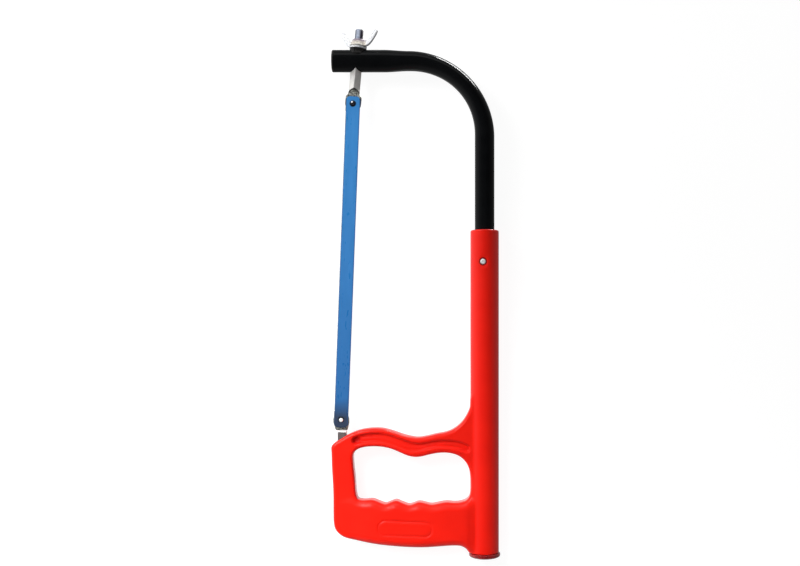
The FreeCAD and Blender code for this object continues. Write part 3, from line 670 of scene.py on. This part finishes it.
GROOVE = [
    (-125.4, 115.2), (-122.7, 117.4), (-118.3, 118.9), (-111.1, 120.4), (-103.3, 120.9), (-95.5, 120.3),
    (-87.7, 118.6), (-81, 116.2), (-74.3, 113.7), (-67.7, 111.7), (-62.6, 111.2), (-56.5, 111.9),
    (-49.9, 113.2), (-42.1, 114.2), (-35.4, 114.2), (-27.6, 113.4), (-20.9, 111.8), (-16.5, 109.8),
    (-14.2, 107.4), (-13.9, 104.8), (-15.4, 102.8), (-18.7, 102.6), (-22, 104), (-27.6, 105.6),
    (-36.5, 106.8), (-47.6, 106.9), (-55.4, 105.4), (-63.2, 103.5), (-69.9, 103.2), (-76.6, 104.5),
    (-83.2, 107.1), (-89.9, 109.3), (-97.7, 111), (-106.6, 111.8), (-114.4, 111.2), (-118.8, 110.4),
    (-122.7, 109.9), (-125, 111.4),
]
GROOVE_MIDDLE = [
    (-114.5, 114.7), (-109, 115.5), (-103.4, 115.6), (-95.6, 114.7), (-87.8, 112.5),
    (-81.1, 109.9), (-74.4, 107.5), (-67.7, 106.4), (-61, 106.6), (-54.3, 108.2), (-47.7, 109.4),
    (-36.5, 109.9), (-27.6, 109), (-20.5, 106.6),
]

BOW_HALF, GRIP_HALF = 8.5, 12.0     # half thicknesses
BOW_ROUND, GRIP_ROUND = 3.0, 8.0
GRIP_START = (-144.0, -100.0)
GRIP_END = -6.0
GRIP_TOP = 61.0
PILL_MIDDLE, PILL_HALF, PILL_RADIUS, PILL_TILT = (-75.3, 30.8), 18.6, 6.7, math.radians(-2.5)
SLEEVE_RADIUS, SLEEVE_BORE = 13.5, 9.35
SLEEVE_FOOT, SLEEVE_MOUTH = 6.4, 312.6
GROOVE_DEPTH, RIDGE_HEIGHT, RIDGE_WIDTH = 2.3, 0.6, 0.9
PIT_DEPTH, PIT_RADIUS = 1.8, 3.6
PILL_DEPTH, PILL_WIDTH = 0.7, 0.8
RIVET_SEAT, RIVET_RECESS, DISH, RIVET_HOLE = 12.4, 3.7, 5.7, 1.25
HOLDER_X, HOLDER_HALF = -135.4, 4.02
HOLDER_FOOT = 89.98


def handle_distance(x, y, z):
    plane = np.maximum(line_distance(x, y, OUTLINE), -line_distance(x, y, OPENING))
    groove = line_distance(x, y, GROOVE)
    ridge = line_distance(x, y, GROOVE_MIDDLE, closed=False)
    half = BOW_HALF - GROOVE_DEPTH * smooth_step(-groove, -0.3, 1.3)
    half = half + RIDGE_HEIGHT * np.exp(-(ridge / RIDGE_WIDTH) ** 2) * smooth_step(-groove, 0.6, 2.0)
    pit = np.hypot(x - GROOVE_PIT[0], y - GROOVE_PIT[1])
    half = half - PIT_DEPTH * np.exp(-(pit / PIT_RADIUS) ** 4)
    plate = rounded_plate(plane, np.abs(z) - half, BOW_ROUND)
    along, aside = x - PILL_MIDDLE[0], y - PILL_MIDDLE[1]
    lengthwise = along * math.cos(PILL_TILT) + aside * math.sin(PILL_TILT)
    aside = aside * math.cos(PILL_TILT) - along * math.sin(PILL_TILT)
    pill = np.abs(np.hypot(np.maximum(np.abs(lengthwise) - PILL_HALF, 0.0), aside) - PILL_RADIUS)
    swell = np.maximum(plane, np.maximum(x - GRIP_END, y - GRIP_TOP))
    crown = BOW_HALF - 0.6 + (GRIP_HALF - BOW_HALF + 0.6) * smooth_step(x, *GRIP_START)
    crown = crown - 0.9 * smooth_step(x, -17.5, -12.5) - PILL_DEPTH * np.exp(-(pill / PILL_WIDTH) ** 2)
    shoulder = rounded_plate(softened(swell, 14) - 0.9, np.abs(z) - crown, GRIP_ROUND)
    grip = soft_max(shoulder, swell, 2.0)
    plate = soft_min(plate, grip, 1.6)
    across = np.hypot(x, z)
    ends = np.maximum(SLEEVE_FOOT - y, y - SLEEVE_MOUTH)
    sleeve = rounded_plate(across - SLEEVE_RADIUS, ends, 1.1)
    solid = soft_min(plate, sleeve, 1.8)
    solid = np.maximum(solid, SLEEVE_FOOT - y)
    solid = soft_max(solid, SLEEVE_BORE - across, 0.8)
    from_rivet = np.hypot(x - RIVET[0], y - RIVET[1])
    solid = soft_max(solid, -np.maximum(from_rivet - DISH, SLEEVE_RADIUS - 0.55 - z), 0.7)
    solid = np.maximum(solid, -np.maximum(from_rivet - RIVET_RECESS, RIVET_SEAT - z))
    solid = np.maximum(solid, -np.maximum(from_rivet - RIVET_HOLE, 5.0 - z))
    socket = np.maximum(np.maximum(np.abs(x - HOLDER_X), np.abs(z)) - HOLDER_HALF, HOLDER_FOOT - y)
    return np.maximum(solid, -socket)


add_piece(
    "handle_moulding",
    *surface_of(handle_distance, (-148.0, 3.0, -16.0), (16.5, 316.0, 16.0), 0.95),
    HANDLE_FRAME, "frame", "handle_red", "handle", red_plastic(),
)

# -------- end cap, rivet and its mandrel

CAP = rounded_profile([
    (0, 0, 0), (4, 0.35, 1.5), (9, 1.35, 1.5), (13.3, 2.5, 0.8), (14.79, 3.5, 0.7), (14.79, 5.9, 0.5),
    (14.2, 6.4, 0.3), (7.7, 6.4, 0.2), (7.7, 23.2, 0.8), (6.4, 24.4, 0.5), (0, 24.4, 0),
])
add_piece(
    "handle_end_cap", *turned(CAP, 96), LEG_FRAME, "frame", "cap_red", "end_cap", CAP_PLASTIC, 35,
)
RIVET_HEAD = rounded_profile([
    (0.68, 4.8, 0), (1.2, 4.8, 0.2), (1.8, 5.6, 0.3), (1.8, 6.6, 0.3), (1.2, 7.2, 0.1), (1.2, 12.42, 0.05),
    (2.5, 12.42, 0.1), (2.5, 12.7, 0.15), (1.9, 13.2, 0.5), (0.95, 13.38, 0.3), (0.68, 13.1, 0.1),
    (0.68, 4.8, 0),
], 4)[:-1]
RIVET_FRAME = HANDLE_FRAME @ shifted(*RIVET, 0)
add_piece(
    "sleeve_rivet", *turned(RIVET_HEAD, 48), RIVET_FRAME, "frame", "rivet_aluminium", "handle_rivet",
    RIVET_ALUMINIUM, 40,
)
MANDREL = rounded_profile([
    (0, 3.2, 0), (0.7, 3.2, 0.2), (1.1, 3.8, 0.3), (1.1, 4.5, 0.1), (0.65, 4.75, 0.05), (0.65, 12.4, 0.1),
    (0, 12.6, 0),
], 4)
add_piece(
    "sleeve_rivet_mandrel", *turned(MANDREL, 32), RIVET_FRAME, "frame", "rivet_steel", "rivet_mandrel",
    MANDREL_STEEL, 40,
)

# -------- frame tube, in the CAD's frame

TUBE_ROUND = 18.6
WALL = 1.5
BEND = (16.8, 20.4)      # pressed sizes in the saw's plane and across it, as are the arm's
ARM = (21.0, 16.4)
ARM_Y = ROD_ORIGIN.y / MM
LEG = LEG_X / MM
BEND_RADIUS = 71.5
HUB = (LEG - BEND_RADIUS, ARM_Y - BEND_RADIUS)
ARM_END = LEG - 143.6
AROUND = 72
ANGLES = [2 * math.pi * step / AROUND for step in range(AROUND)]


def pressed(sizes, share):
    """The round tube's two sizes, a share of the way to those it is pressed to."""
    return [TUBE_ROUND + (size - TUBE_ROUND) * share for size in sizes]


def tube_stations():
    """(x, y, turn, size in the plane, size across it) along the tube's axis."""
    stations = []
    foot = END_Y / MM + SLEEVE_FOOT
    leg_steps = 24
    for step in range(leg_steps):
        y = foot + (HUB[1] - foot) * step / leg_steps
        stations.append((LEG, y, 0.0, TUBE_ROUND, TUBE_ROUND))
    bend_steps = 56
    for step in range(bend_steps + 1):
        angle = math.pi / 2 * step / bend_steps
        share = math.sin(math.pi * step / bend_steps) ** 1.2
        x = HUB[0] + BEND_RADIUS * math.cos(angle)
        y = HUB[1] + BEND_RADIUS * math.sin(angle)
        stations.append((x, y, angle, *pressed(BEND, share)))
    arm_steps = 44
    for step in range(1, arm_steps + 1):
        x = HUB[0] + (ARM_END - HUB[0]) * step / arm_steps
        share = float(smooth_step(HUB[0] - x, 1.0, 24.0))
        stations.append((x, ARM_Y, math.pi / 2, *pressed(ARM, share)))
    return stations


def frame_tube():
    """The tube's outside, and its inside backwards, joined at both ends."""
    stations = tube_stations()
    vertices = []
    for inset, row in ((0.0, stations), (WALL, stations[::-1])):
        for x, y, turn, wide, thick in row:
            for angle in ANGLES:
                side = (wide / 2 - inset) * math.cos(angle)
                up = (thick / 2 - inset) * math.sin(angle)
                vertices.append((x + side * math.cos(turn), y + side * math.sin(turn), MID_Z / MM + up))
    rings = numbered(2 * len(stations), AROUND)
    return vertices, [face[::-1] for face in strung(rings, closed=True)]


tube = add_piece(
    "frame_bent_tube", *frame_tube(), Matrix(), "frame", "frame_black", "frame_tube", BLACK_ENAMEL, 40,
)


def cut_rod_holes(piece):
    """Cuts the square holes that the rod passes through, with one corner up."""
    corner = 8.3 / 2 ** 0.5
    reach = 16.0
    square = ((corner, 0), (0, corner), (-corner, 0), (0, -corner))
    local = [(x, y, z) for z in (-reach, reach) for x, y in square]
    mesh = bpy.data.meshes.new("rod_hole_cutter")
    sides = strung(numbered(2, 4))
    mesh.from_pydata([ROD_FRAME @ (Vector(p) * MM) for p in local], [], [*sides, (3, 2, 1, 0), (4, 5, 6, 7)])
    cutter = linked("rod_hole_cutter", mesh)
    cut = piece.modifiers.new("rod_holes", "BOOLEAN")
    cut.object = cutter
    cut.solver = "EXACT"
    shaped = bpy.data.meshes.new_from_object(piece.evaluated_get(bpy.context.evaluated_depsgraph_get()))
    piece.modifiers.clear()
    piece.data = shaped
    bpy.data.objects.remove(cutter)
    shaped.set_sharp_from_angle(angle=math.radians(40))


cut_rod_holes(tube)


def end_plug():
    """A push-in plug: oval rings of (height, inset), closed by a domed face."""
    wide, thick = ARM[0] / 2, ARM[1] / 2
    rings = [
        (-14.0, 3.4), (-13.4, 2.2), (-12.6, 1.65), (0.0, 1.65), (0.0, 0.05), (0.25, 0.0), (0.8, 0.0),
        (1.25, 0.25), (1.6, 0.8), (1.76, 1.6), (1.8, 2.6), (1.72, 3.2), (1.5, 3.6), (1.4, 4.4), (1.4, 6.0),
    ]
    vertices = [
        ((wide - inset) * math.cos(angle), (thick - inset) * math.sin(angle), height)
        for height, inset in rings for angle in ANGLES
    ]
    hub = len(vertices)
    vertices += [(0, 0, rings[0][0]), (0, 0, rings[-1][0])]
    return vertices, strung([[hub], *numbered(len(rings), AROUND), [hub + 1]])


ARM_FRAME = placed(
    Vector((ARM_END * MM, ROD_ORIGIN.y, MID_Z)), Vector((0, 1, 0)), Vector((0, 0, -1)), Vector((-1, 0, 0))
)
add_piece(
    "arm_end_plug", *end_plug(), ARM_FRAME, "frame", "black_plastic", "tube_end_plug", PLUG_PLASTIC, 50,
)

# -------- guide, washer and wing nut

PITCH = 1.25
THREAD_OUT, THREAD_DEPTH = 3.95, 0.62


def thread_radius(height, angle):
    """Radius of the stud's right-hand thread at a height and angle about the rod."""
    phase = (height / PITCH - angle / (2 * math.pi)) % 1.0
    flank = np.clip((np.abs(2 * phase - 1) - 0.14) / 0.7, 0.0, 1.0)
    return THREAD_OUT - THREAD_DEPTH * flank


def guide_distance(x, y, z):
    across = np.hypot(x, y)
    collar = rounded_plate(across - 7.7, np.maximum(z - GUIDE_TOP, 4.6 - z), 0.7)
    foot_flare = rounded_plate(across - 8.1 + np.abs(z - 6.2) * 0.55, np.maximum(z - 7.6, 4.6 - z), 0.3)
    collar = soft_min(collar, foot_flare, 1.0)
    lean = math.atan2(ROD_OUT.x, ROD_OUT.y)
    up_arm = z * math.cos(lean) - y * math.sin(lean)
    arm = (np.hypot(up_arm / (ARM[0] / 2), x / (ARM[1] / 2)) - 1) * ARM[1] / 2
    collar = soft_max(collar, 0.03 - arm, 0.3)
    bar = (np.abs(x) + np.abs(y)) / 2 ** 0.5 - 4.15
    seam = np.maximum(np.abs(y + 2.2) - 0.22, np.maximum(7.0 - across, -x))
    return np.maximum(np.maximum(collar, -bar), -seam)


add_piece(
    "rod_saddle_guide",
    *surface_of(guide_distance, (-9.5, -9.5, 3.0), (9.5, 9.5, 14.0), 0.26),
    ROD_FRAME, "frame", "guide_black", "rod_guide", GUIDE_BLACK,
)

RING = rounded_profile([
    (4.2, 0.8, 0), (4.2, 0, 0.15), (8.3, 0, 0.5), (8.3, WASHER, 0.28), (4.2, WASHER, 0.15), (4.2, 0.8, 0),
], 4)[:-1]
add_piece(
    "plain_washer", *turned(RING, 72), ROD_FRAME @ shifted(0, 0, GUIDE_TOP), "frame", "zinc", "washer",
    ZINC, 35,
)

WING = [
    (4.5, 0.9), (8, 0.7), (11.3, 1.3), (13.8, 3), (16.2, 5.6), (18.6, 8.8), (20.4, 11.9), (20.95, 14),
    (20.2, 15.35), (18.6, 15.5), (17, 14.4), (15.2, 12.3), (13.4, 9.7), (11.6, 7.2), (9.2, 6), (4.5, 6),
]
NUT_TURN = math.radians(-30.0)
BORE_MOUTH = 4.6          # radius of the countersinks at the bore's ends


def nut_distance(x, y, z):
    across = np.hypot(x, y)
    side = np.abs(y)
    skirt = rounded_plate(across - 8.2, np.maximum(z - 1.5, -z), 0.45)
    cone = (across - (8.1 - (z - 1.0) * 0.42)) * 0.92
    cone = soft_max(cone, np.maximum(z - BOSS_TOP, 0.3 - z), 0.9)
    boss = soft_min(skirt, cone, 0.7)
    plane = line_distance(side, z, WING)
    half = 1.75 - 0.55 * smooth_step(side, 7.0, 18.0)
    wing = rounded_plate(plane, np.abs(x) - half, 0.75)
    nut = soft_min(boss, wing, 1.5)
    angle = np.arctan2(y, x) + NUT_TURN
    bore = thread_radius(z + NUT_SEAT, angle) + 0.12 - across
    bore = np.maximum(bore, BORE_MOUTH - z - across)
    bore = np.maximum(bore, z - BOSS_TOP + BORE_MOUTH - across)
    return np.maximum(np.maximum(nut, bore), -z)


NUT_FRAME = ROD_FRAME @ shifted(0, 0, NUT_SEAT) @ Matrix.Rotation(NUT_TURN, 4, "Z")
add_piece(
    "wing_nut_cast",
    *surface_of(nut_distance, (-10.0, -22.4, -1.0), (10.0, 22.4, 17.8), 0.24),
    NUT_FRAME, "nut", "zinc", "wing_nut", ZINC,
)

# -------- tension rod and its pin

BAR_HALF = 4.0
BAR_TOP, BAR_FOOT = 10.6, -34.6     # from the arm's axis, out along the rod
STUD_TOP, STUD_CHAMFER = 29.8, 0.9
PIN_DEPTH = 40.5          # from there to the pin, inwards
SPADE_HALF, SPADE_THICK_HALF = 7.5, 2.0
SPADE_NECK = 5.2          # its half width inside the bar
MILLED = 5.1              # radius of the milled pocket in front of the blade's end
POCKET_DEPTH = 32.4       # and how far inwards its centre is
POCKET_AT = ROD_ORIGIN - ROD_OUT * POCKET_DEPTH * MM


def rod_distance(x, y, z):
    diamond = (np.abs(x) + np.abs(y)) / 2 ** 0.5 - BAR_HALF
    bar = soft_max(diamond, np.maximum(z - BAR_TOP, BAR_FOOT - z), 0.5)
    bar = np.maximum(bar, np.maximum(np.abs(x), np.abs(y)) - BAR_HALF * 2 ** 0.5 + 0.35)
    front = np.abs(x)
    out = np.hypot(y, np.maximum(z + POCKET_DEPTH, 0.0)) - MILLED
    pocket = rounded_plate(out, SPADE_THICK_HALF - front, 0.8)
    bar = soft_max(bar, -pocket, 0.35)
    below = -PIN_DEPTH - z
    disc = np.hypot(y, np.maximum(below, 0.0)) - SPADE_HALF
    neck = np.abs(y) - (SPADE_NECK + (SPADE_HALF - SPADE_NECK) * smooth_step(-z, 31.2, 34.8))
    spade_plane = np.maximum(np.maximum(disc, neck), z + 28.0)
    spade = rounded_plate(spade_plane, front - SPADE_THICK_HALF, 0.4)
    solid = soft_min(bar, spade, 0.4)
    eye = PIN_RADIUS - np.hypot(y, z + PIN_DEPTH)
    return np.maximum(solid, eye)


def stud():
    """The threaded stud, from inside the bar's top to a chamfered end."""
    start = BAR_TOP - 0.6
    steps = int((STUD_TOP - start) / PITCH * 14)
    rings = [(THREAD_OUT, start + (STUD_TOP - start) * step / steps) for step in range(steps + 1)]

    def waves(height, angle):
        limit = THREAD_OUT - max(0.0, height - (STUD_TOP - STUD_CHAMFER))
        plain = max(0.0, 1 - (height - start) / 1.2)
        cut = float(thread_radius(height, angle))
        return min(cut + (THREAD_OUT - THREAD_DEPTH - cut) * min(1.0, plain), limit)

    return turned([(0, start), *rings, (0, STUD_TOP)], 56, waves)


add_piece(
    "tension_rod_forged",
    *merged(surface_of(rod_distance, (-7.0, -9.0, -50.0), (7.0, 9.0, 12.0), 0.3), stud()),
    ROD_FRAME, "rod", "rod_steel", "tension_rod",
    forged_steel(
        "rod_plated_steel", (0.97, 0.95, 0.92), (0.80, 0.82, 0.74), UPPER_PIN.xy,
        arch=(POCKET_AT.x, POCKET_AT.y, MILLED * MM), stud_from=BAR_TOP * MM,
    ), 50,
)

PIN_PROFILE = rounded_profile([
    (0, -2, 0), (PIN_RADIUS, -2, 0.15), (PIN_RADIUS, 3.3, 0.35), (1.45, 3.86, 0.3), (0, 3.95, 0),
])
for name, point, body, steel in (
    ("upper", UPPER_PIN, "rod", shaded_pin_steel()),
    ("lower", LOWER_PIN, "frame", LIT_PIN_STEEL),
):
    add_piece(
        f"{name}_hook_pin", *turned(PIN_PROFILE, 48), level_frame(point), body, "pin_steel",
        f"{name}_blade_pin", steel, 40,
    )

# -------- blade

BLADE_HALF = 6.85
BLADE_THICK = 0.65
OVERHANG = {1: 6.9, -1: 7.6}     # beyond the upper and the lower hole
BLADE_CORNER = 4.2
HOLE = 2.6                # radius
TOOTH_PITCH, TOOTH_DEPTH, TOOTH_FACE = 1.06, 0.6, 0.32
TOOTHLESS = 7.0           # from a hole to the first tooth
SET, SET_TEETH, SET_FADE = 0.2, 8, 12.0     # the set is a wave of 8 teeth, which fades at both ends


def blade_end(sign):
    """Boundary of the blade's end beyond a row of points, round one hole, from -X to +X."""
    tip = sign * OVERHANG[sign]
    inner = BLADE_HALF - BLADE_CORNER
    arc = []
    for step in range(1, 8):
        angle = math.pi / 2 * step / 8
        y = tip - sign * BLADE_CORNER + sign * BLADE_CORNER * math.sin(angle)
        arc.append((inner + BLADE_CORNER * math.cos(angle), y))
    side = [(BLADE_HALF, sign * y) for y in (OVERHANG[sign] - BLADE_CORNER, 1.0, -3.0)]
    left = [(-x, y) for x, y in side[::-1] + arc]
    return [*left, (-inner, tip), (0.0, tip), (inner, tip), *arc[::-1], *side]


def blade_mesh():
    """A toothed strip with a hole at each end, in a frame with the upper hole at the origin."""
    columns = (-4.2, -2.0, 1.0, 4.0, BLADE_HALF)
    count = int((BLADE_LENGTH - 2 * TOOTHLESS) / TOOTH_PITCH)
    first = -TOOTHLESS
    rows = []
    for tooth in range(count):
        tip = first - TOOTH_PITCH * tooth
        rows += [(-BLADE_HALF, tip), (-BLADE_HALF + TOOTH_DEPTH, tip - TOOTH_FACE)]
    rows.append((-BLADE_HALF, -BLADE_LENGTH + TOOTHLESS))
    points = []
    for edge, y in rows:
        fade = min(1.0, (first - y) / SET_FADE, (y + BLADE_LENGTH - TOOTHLESS) / SET_FADE)
        wave = SET * fade * math.sin(2 * math.pi * y / (SET_TEETH * TOOTH_PITCH))
        points += [(edge, y, wave), (-5.3, y, 0.55 * wave), *((x, y, 0.0) for x in columns)]
    grid = numbered(len(rows), 2 + len(columns))
    faces = [
        (below[i], below[i + 1], above[i + 1], above[i])
        for above, below in zip(grid, grid[1:]) for i in range(len(below) - 1)
    ]
    for sign, row, centre in ((1, grid[0], 0.0), (-1, grid[-1], -BLADE_LENGTH)):
        outer = list(row)
        for x, y in blade_end(sign)[::-1]:
            outer.append(len(points))
            points.append((x, centre + y, 0.0))
        rings = [outer]
        for share in (0.5, 0.8, 1.0):
            ring = []
            for number in outer:
                x, y, _ = points[number]
                away = math.hypot(x, y - centre)
                reach = away + (HOLE - away) * share
                ring.append(len(points))
                points.append((x / away * reach, centre + (y - centre) / away * reach, 0.0))
            rings.append(ring)
        faces += strung(rings)
    return points, faces


def thickened(points, faces, thick):
    """Closes a flat sheet of faces into a solid of that thickness, from the sheet to +Z."""
    count = len(points)
    upward = []
    for face in faces:
        edges = zip(face, face[1:] + face[:1])
        area = sum(points[a][0] * points[b][1] - points[b][0] * points[a][1] for a, b in edges)
        upward.append(face if area > 0 else face[::-1])
    used = dict.fromkeys(edge for face in upward for edge in zip(face, face[1:] + face[:1]))
    walls = [(a, b, b + count, a + count) for a, b in used if (b, a) not in used]
    top = [tuple(i + count for i in face) for face in upward]
    under = [face[::-1] for face in upward]
    return points + [(x, y, z + thick) for x, y, z in points], [*top, *under, *walls]


blade_line = LOWER_PIN - UPPER_PIN
blade_line.z = 0
blade_line.normalize()
pin_play = HOLE - PIN_RADIUS - 0.02
blade_origin = Vector((UPPER_PIN.x, UPPER_PIN.y, 0)) + blade_line * pin_play * MM
blade_origin.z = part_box("blade")[0].z
BLADE_FRAME = placed(blade_origin, Vector((-blade_line.y, blade_line.x, 0)), -blade_line, Vector((0, 0, 1)))
add_piece(
    "saw_blade_strip", *thickened(*blade_mesh(), BLADE_THICK), BLADE_FRAME,
    "saw_blade", "blade_blue", "blade", blade_enamel(), 30, True,
)

# -------- lower blade holder

HOLDER_STEP = -9.8       # from the pin to where the spade ends
HOLDER_BAND = 1.9        # length of the band of painted highlight beyond it
SHANK_HALF, SHANK_FOOT = 4.0, -42.5
NOTCH = 1.2
LOWER_PIN_X = -136.4     # in the handle's frame


def holder_distance(x, y, z):
    """A round spade that narrows to a step, and a square shank with two notches, pin at the origin."""
    disc = np.hypot(x, np.maximum(y, 0.0)) - SPADE_HALF
    narrower = SPADE_HALF - 2.1 * np.clip((-y - 2.5) / 7.5, 0, 1)
    side = np.abs(x - 0.5 * np.clip(-y / 10.0, 0, 1)) - narrower
    corner = rounded_plate(np.maximum(disc, side), HOLDER_STEP - y, 1.0)
    spade = rounded_plate(corner, np.abs(z) - SPADE_THICK_HALF, 0.4)
    offset = np.abs(x - (HOLDER_X - LOWER_PIN_X))
    square = np.maximum(offset, np.abs(z)) - SHANK_HALF
    shank = soft_max(square, np.maximum(y - HOLDER_STEP - 0.6, SHANK_FOOT - y), 0.5)
    notch = NOTCH - (SHANK_HALF - offset) - np.abs(y - SHANK_FOOT - 10.0) * 0.5
    shank = np.maximum(shank, np.where(offset > SHANK_HALF - NOTCH, notch, -1.0))
    solid = np.minimum(spade, shank)
    eye = PIN_RADIUS - np.hypot(x, y)
    return np.maximum(solid, eye)


step_y = LOWER_PIN.y + HOLDER_STEP * MM
add_piece(
    "lower_holder_spade",
    *surface_of(holder_distance, (-9.5, -44.0, -5.5), (9.5, 9.5, 5.5), 0.3),
    level_frame(LOWER_PIN), "frame", "rod_steel", "lower_blade_holder",
    forged_steel(
        "holder_plated_steel", (0.30, 0.28, 0.28), (0.46, 0.47, 0.43), LOWER_PIN.xy,
        band=(step_y - HOLDER_BAND * MM, step_y + 0.3 * MM),
    ),
)

# -------- floor, light and camera


def area_lamp(name, at, aim, size, power, spread, unseen_by=()):
    """A lamp of that size in metres, power in watts and spread in degrees."""
    data = bpy.data.lights.new(name, "AREA")
    data.shape = "RECTANGLE"
    data.size, data.size_y = size
    data.energy = power
    data.spread = math.radians(spread)
    lamp = linked(name, data)
    lamp.location = at
    lamp.rotation_euler = (Vector(aim) - Vector(at)).to_track_quat("-Z", "Y").to_euler()
    for rays in ("camera", *unseen_by):
        setattr(lamp, f"visible_{rays}", False)


def sky():
    """Dim overhead, brighter at the horizon, most of all to the left of the saw."""
    world = bpy.data.worlds.new("studio")
    world.use_nodes = True
    bpy.context.scene.world = world
    nodes = Nodes(world.node_tree)
    background = world.node_tree.nodes["Background"]
    background.inputs["Strength"].default_value = 0.9
    direction = nodes.add("ShaderNodeTexCoord").outputs["Generated"]
    split = nodes.add("ShaderNodeSeparateXYZ", {"Vector": direction})
    levels = []
    for axis, stops in (
        ("X", ((0.0, 1.00), (0.25, 0.85), (0.5, 0.70), (0.8, 0.42), (1.0, 0.36))),
        ("Z", ((0.0, 0.90), (0.40, 0.90), (0.5, 1.0), (0.62, 0.80), (0.85, 0.22), (1.0, 0.18))),
    ):
        share = nodes.mapped(split.outputs[axis], -1.0, 1.0)
        levels.append(nodes.ramp(share, *[(position, [level] * 3) for position, level in stops]))
    product = nodes.add("ShaderNodeVectorMath", dict(enumerate(levels)), operation="MULTIPLY")
    nodes.join(product.outputs["Vector"], background.inputs["Color"])


def studio():
    """The floor lets through the light of the two lamps below it, rim_card and bounce_light."""
    half = 40.0
    mesh = bpy.data.meshes.new("floor")
    corners = [(-half, -half, 0), (half, -half, 0), (half, half, 0), (-half, half, 0)]
    mesh.from_pydata(corners, [], [(0, 1, 2, 3)])
    mesh.materials.append(studio_floor())
    floor = linked("floor", mesh)
    floor.visible_diffuse = False
    floor.visible_glossy = False
    floor.visible_shadow = False
    key_place = ((-0.66, 0.22, 0.52), (-0.42, -0.26, 0.0), (0.8, 0.8))
    area_lamp("key_light", *key_place, 4.85, 54, ["glossy"])
    area_lamp("key_sheen", *key_place, 0.5, 100)
    area_lamp("top_light", (0.10, 0.95, 0.45), (0.0, 0.0, 0.0), (0.9, 0.35), 1.2, 180)
    area_lamp("fill_light", (0.34, -0.52, 0.34), (0.06, -0.20, 0.0), (0.3, 0.3), 0.30, 180, ["glossy"])
    area_lamp("side_light", (-0.45, 0.42, 0.30), (-0.06, 0.18, 0.0), (0.3, 0.3), 0.35, 60, ["glossy"])
    area_lamp("rim_card", (0.44, 0.995, -0.274), (0.03, 0.19, 0.02), (0.50, 0.09), 13.0, 180, ["diffuse"])
    area_lamp("bounce_light", (-0.02, -0.18, -0.40), (-0.02, -0.18, 0.0), (0.16, 0.20), 0.11, 180)


def camera():
    distance = 0.9            # from the saw's middle plane
    seen_across = 0.7616      # width of that plane that fills the picture
    data = bpy.data.cameras.new("camera")
    data.sensor_width = 36.0
    data.lens = data.sensor_width * distance / seen_across
    data.shift_x, data.shift_y = -0.069, 0.065
    data.clip_start = 0.01
    eye = linked("camera", data)
    eye.location = (0.0373, -0.0388, MID_Z + distance)
    bpy.context.scene.camera = eye


studio()
sky()
camera()
bpy.context.scene.view_settings.view_transform = "Standard"
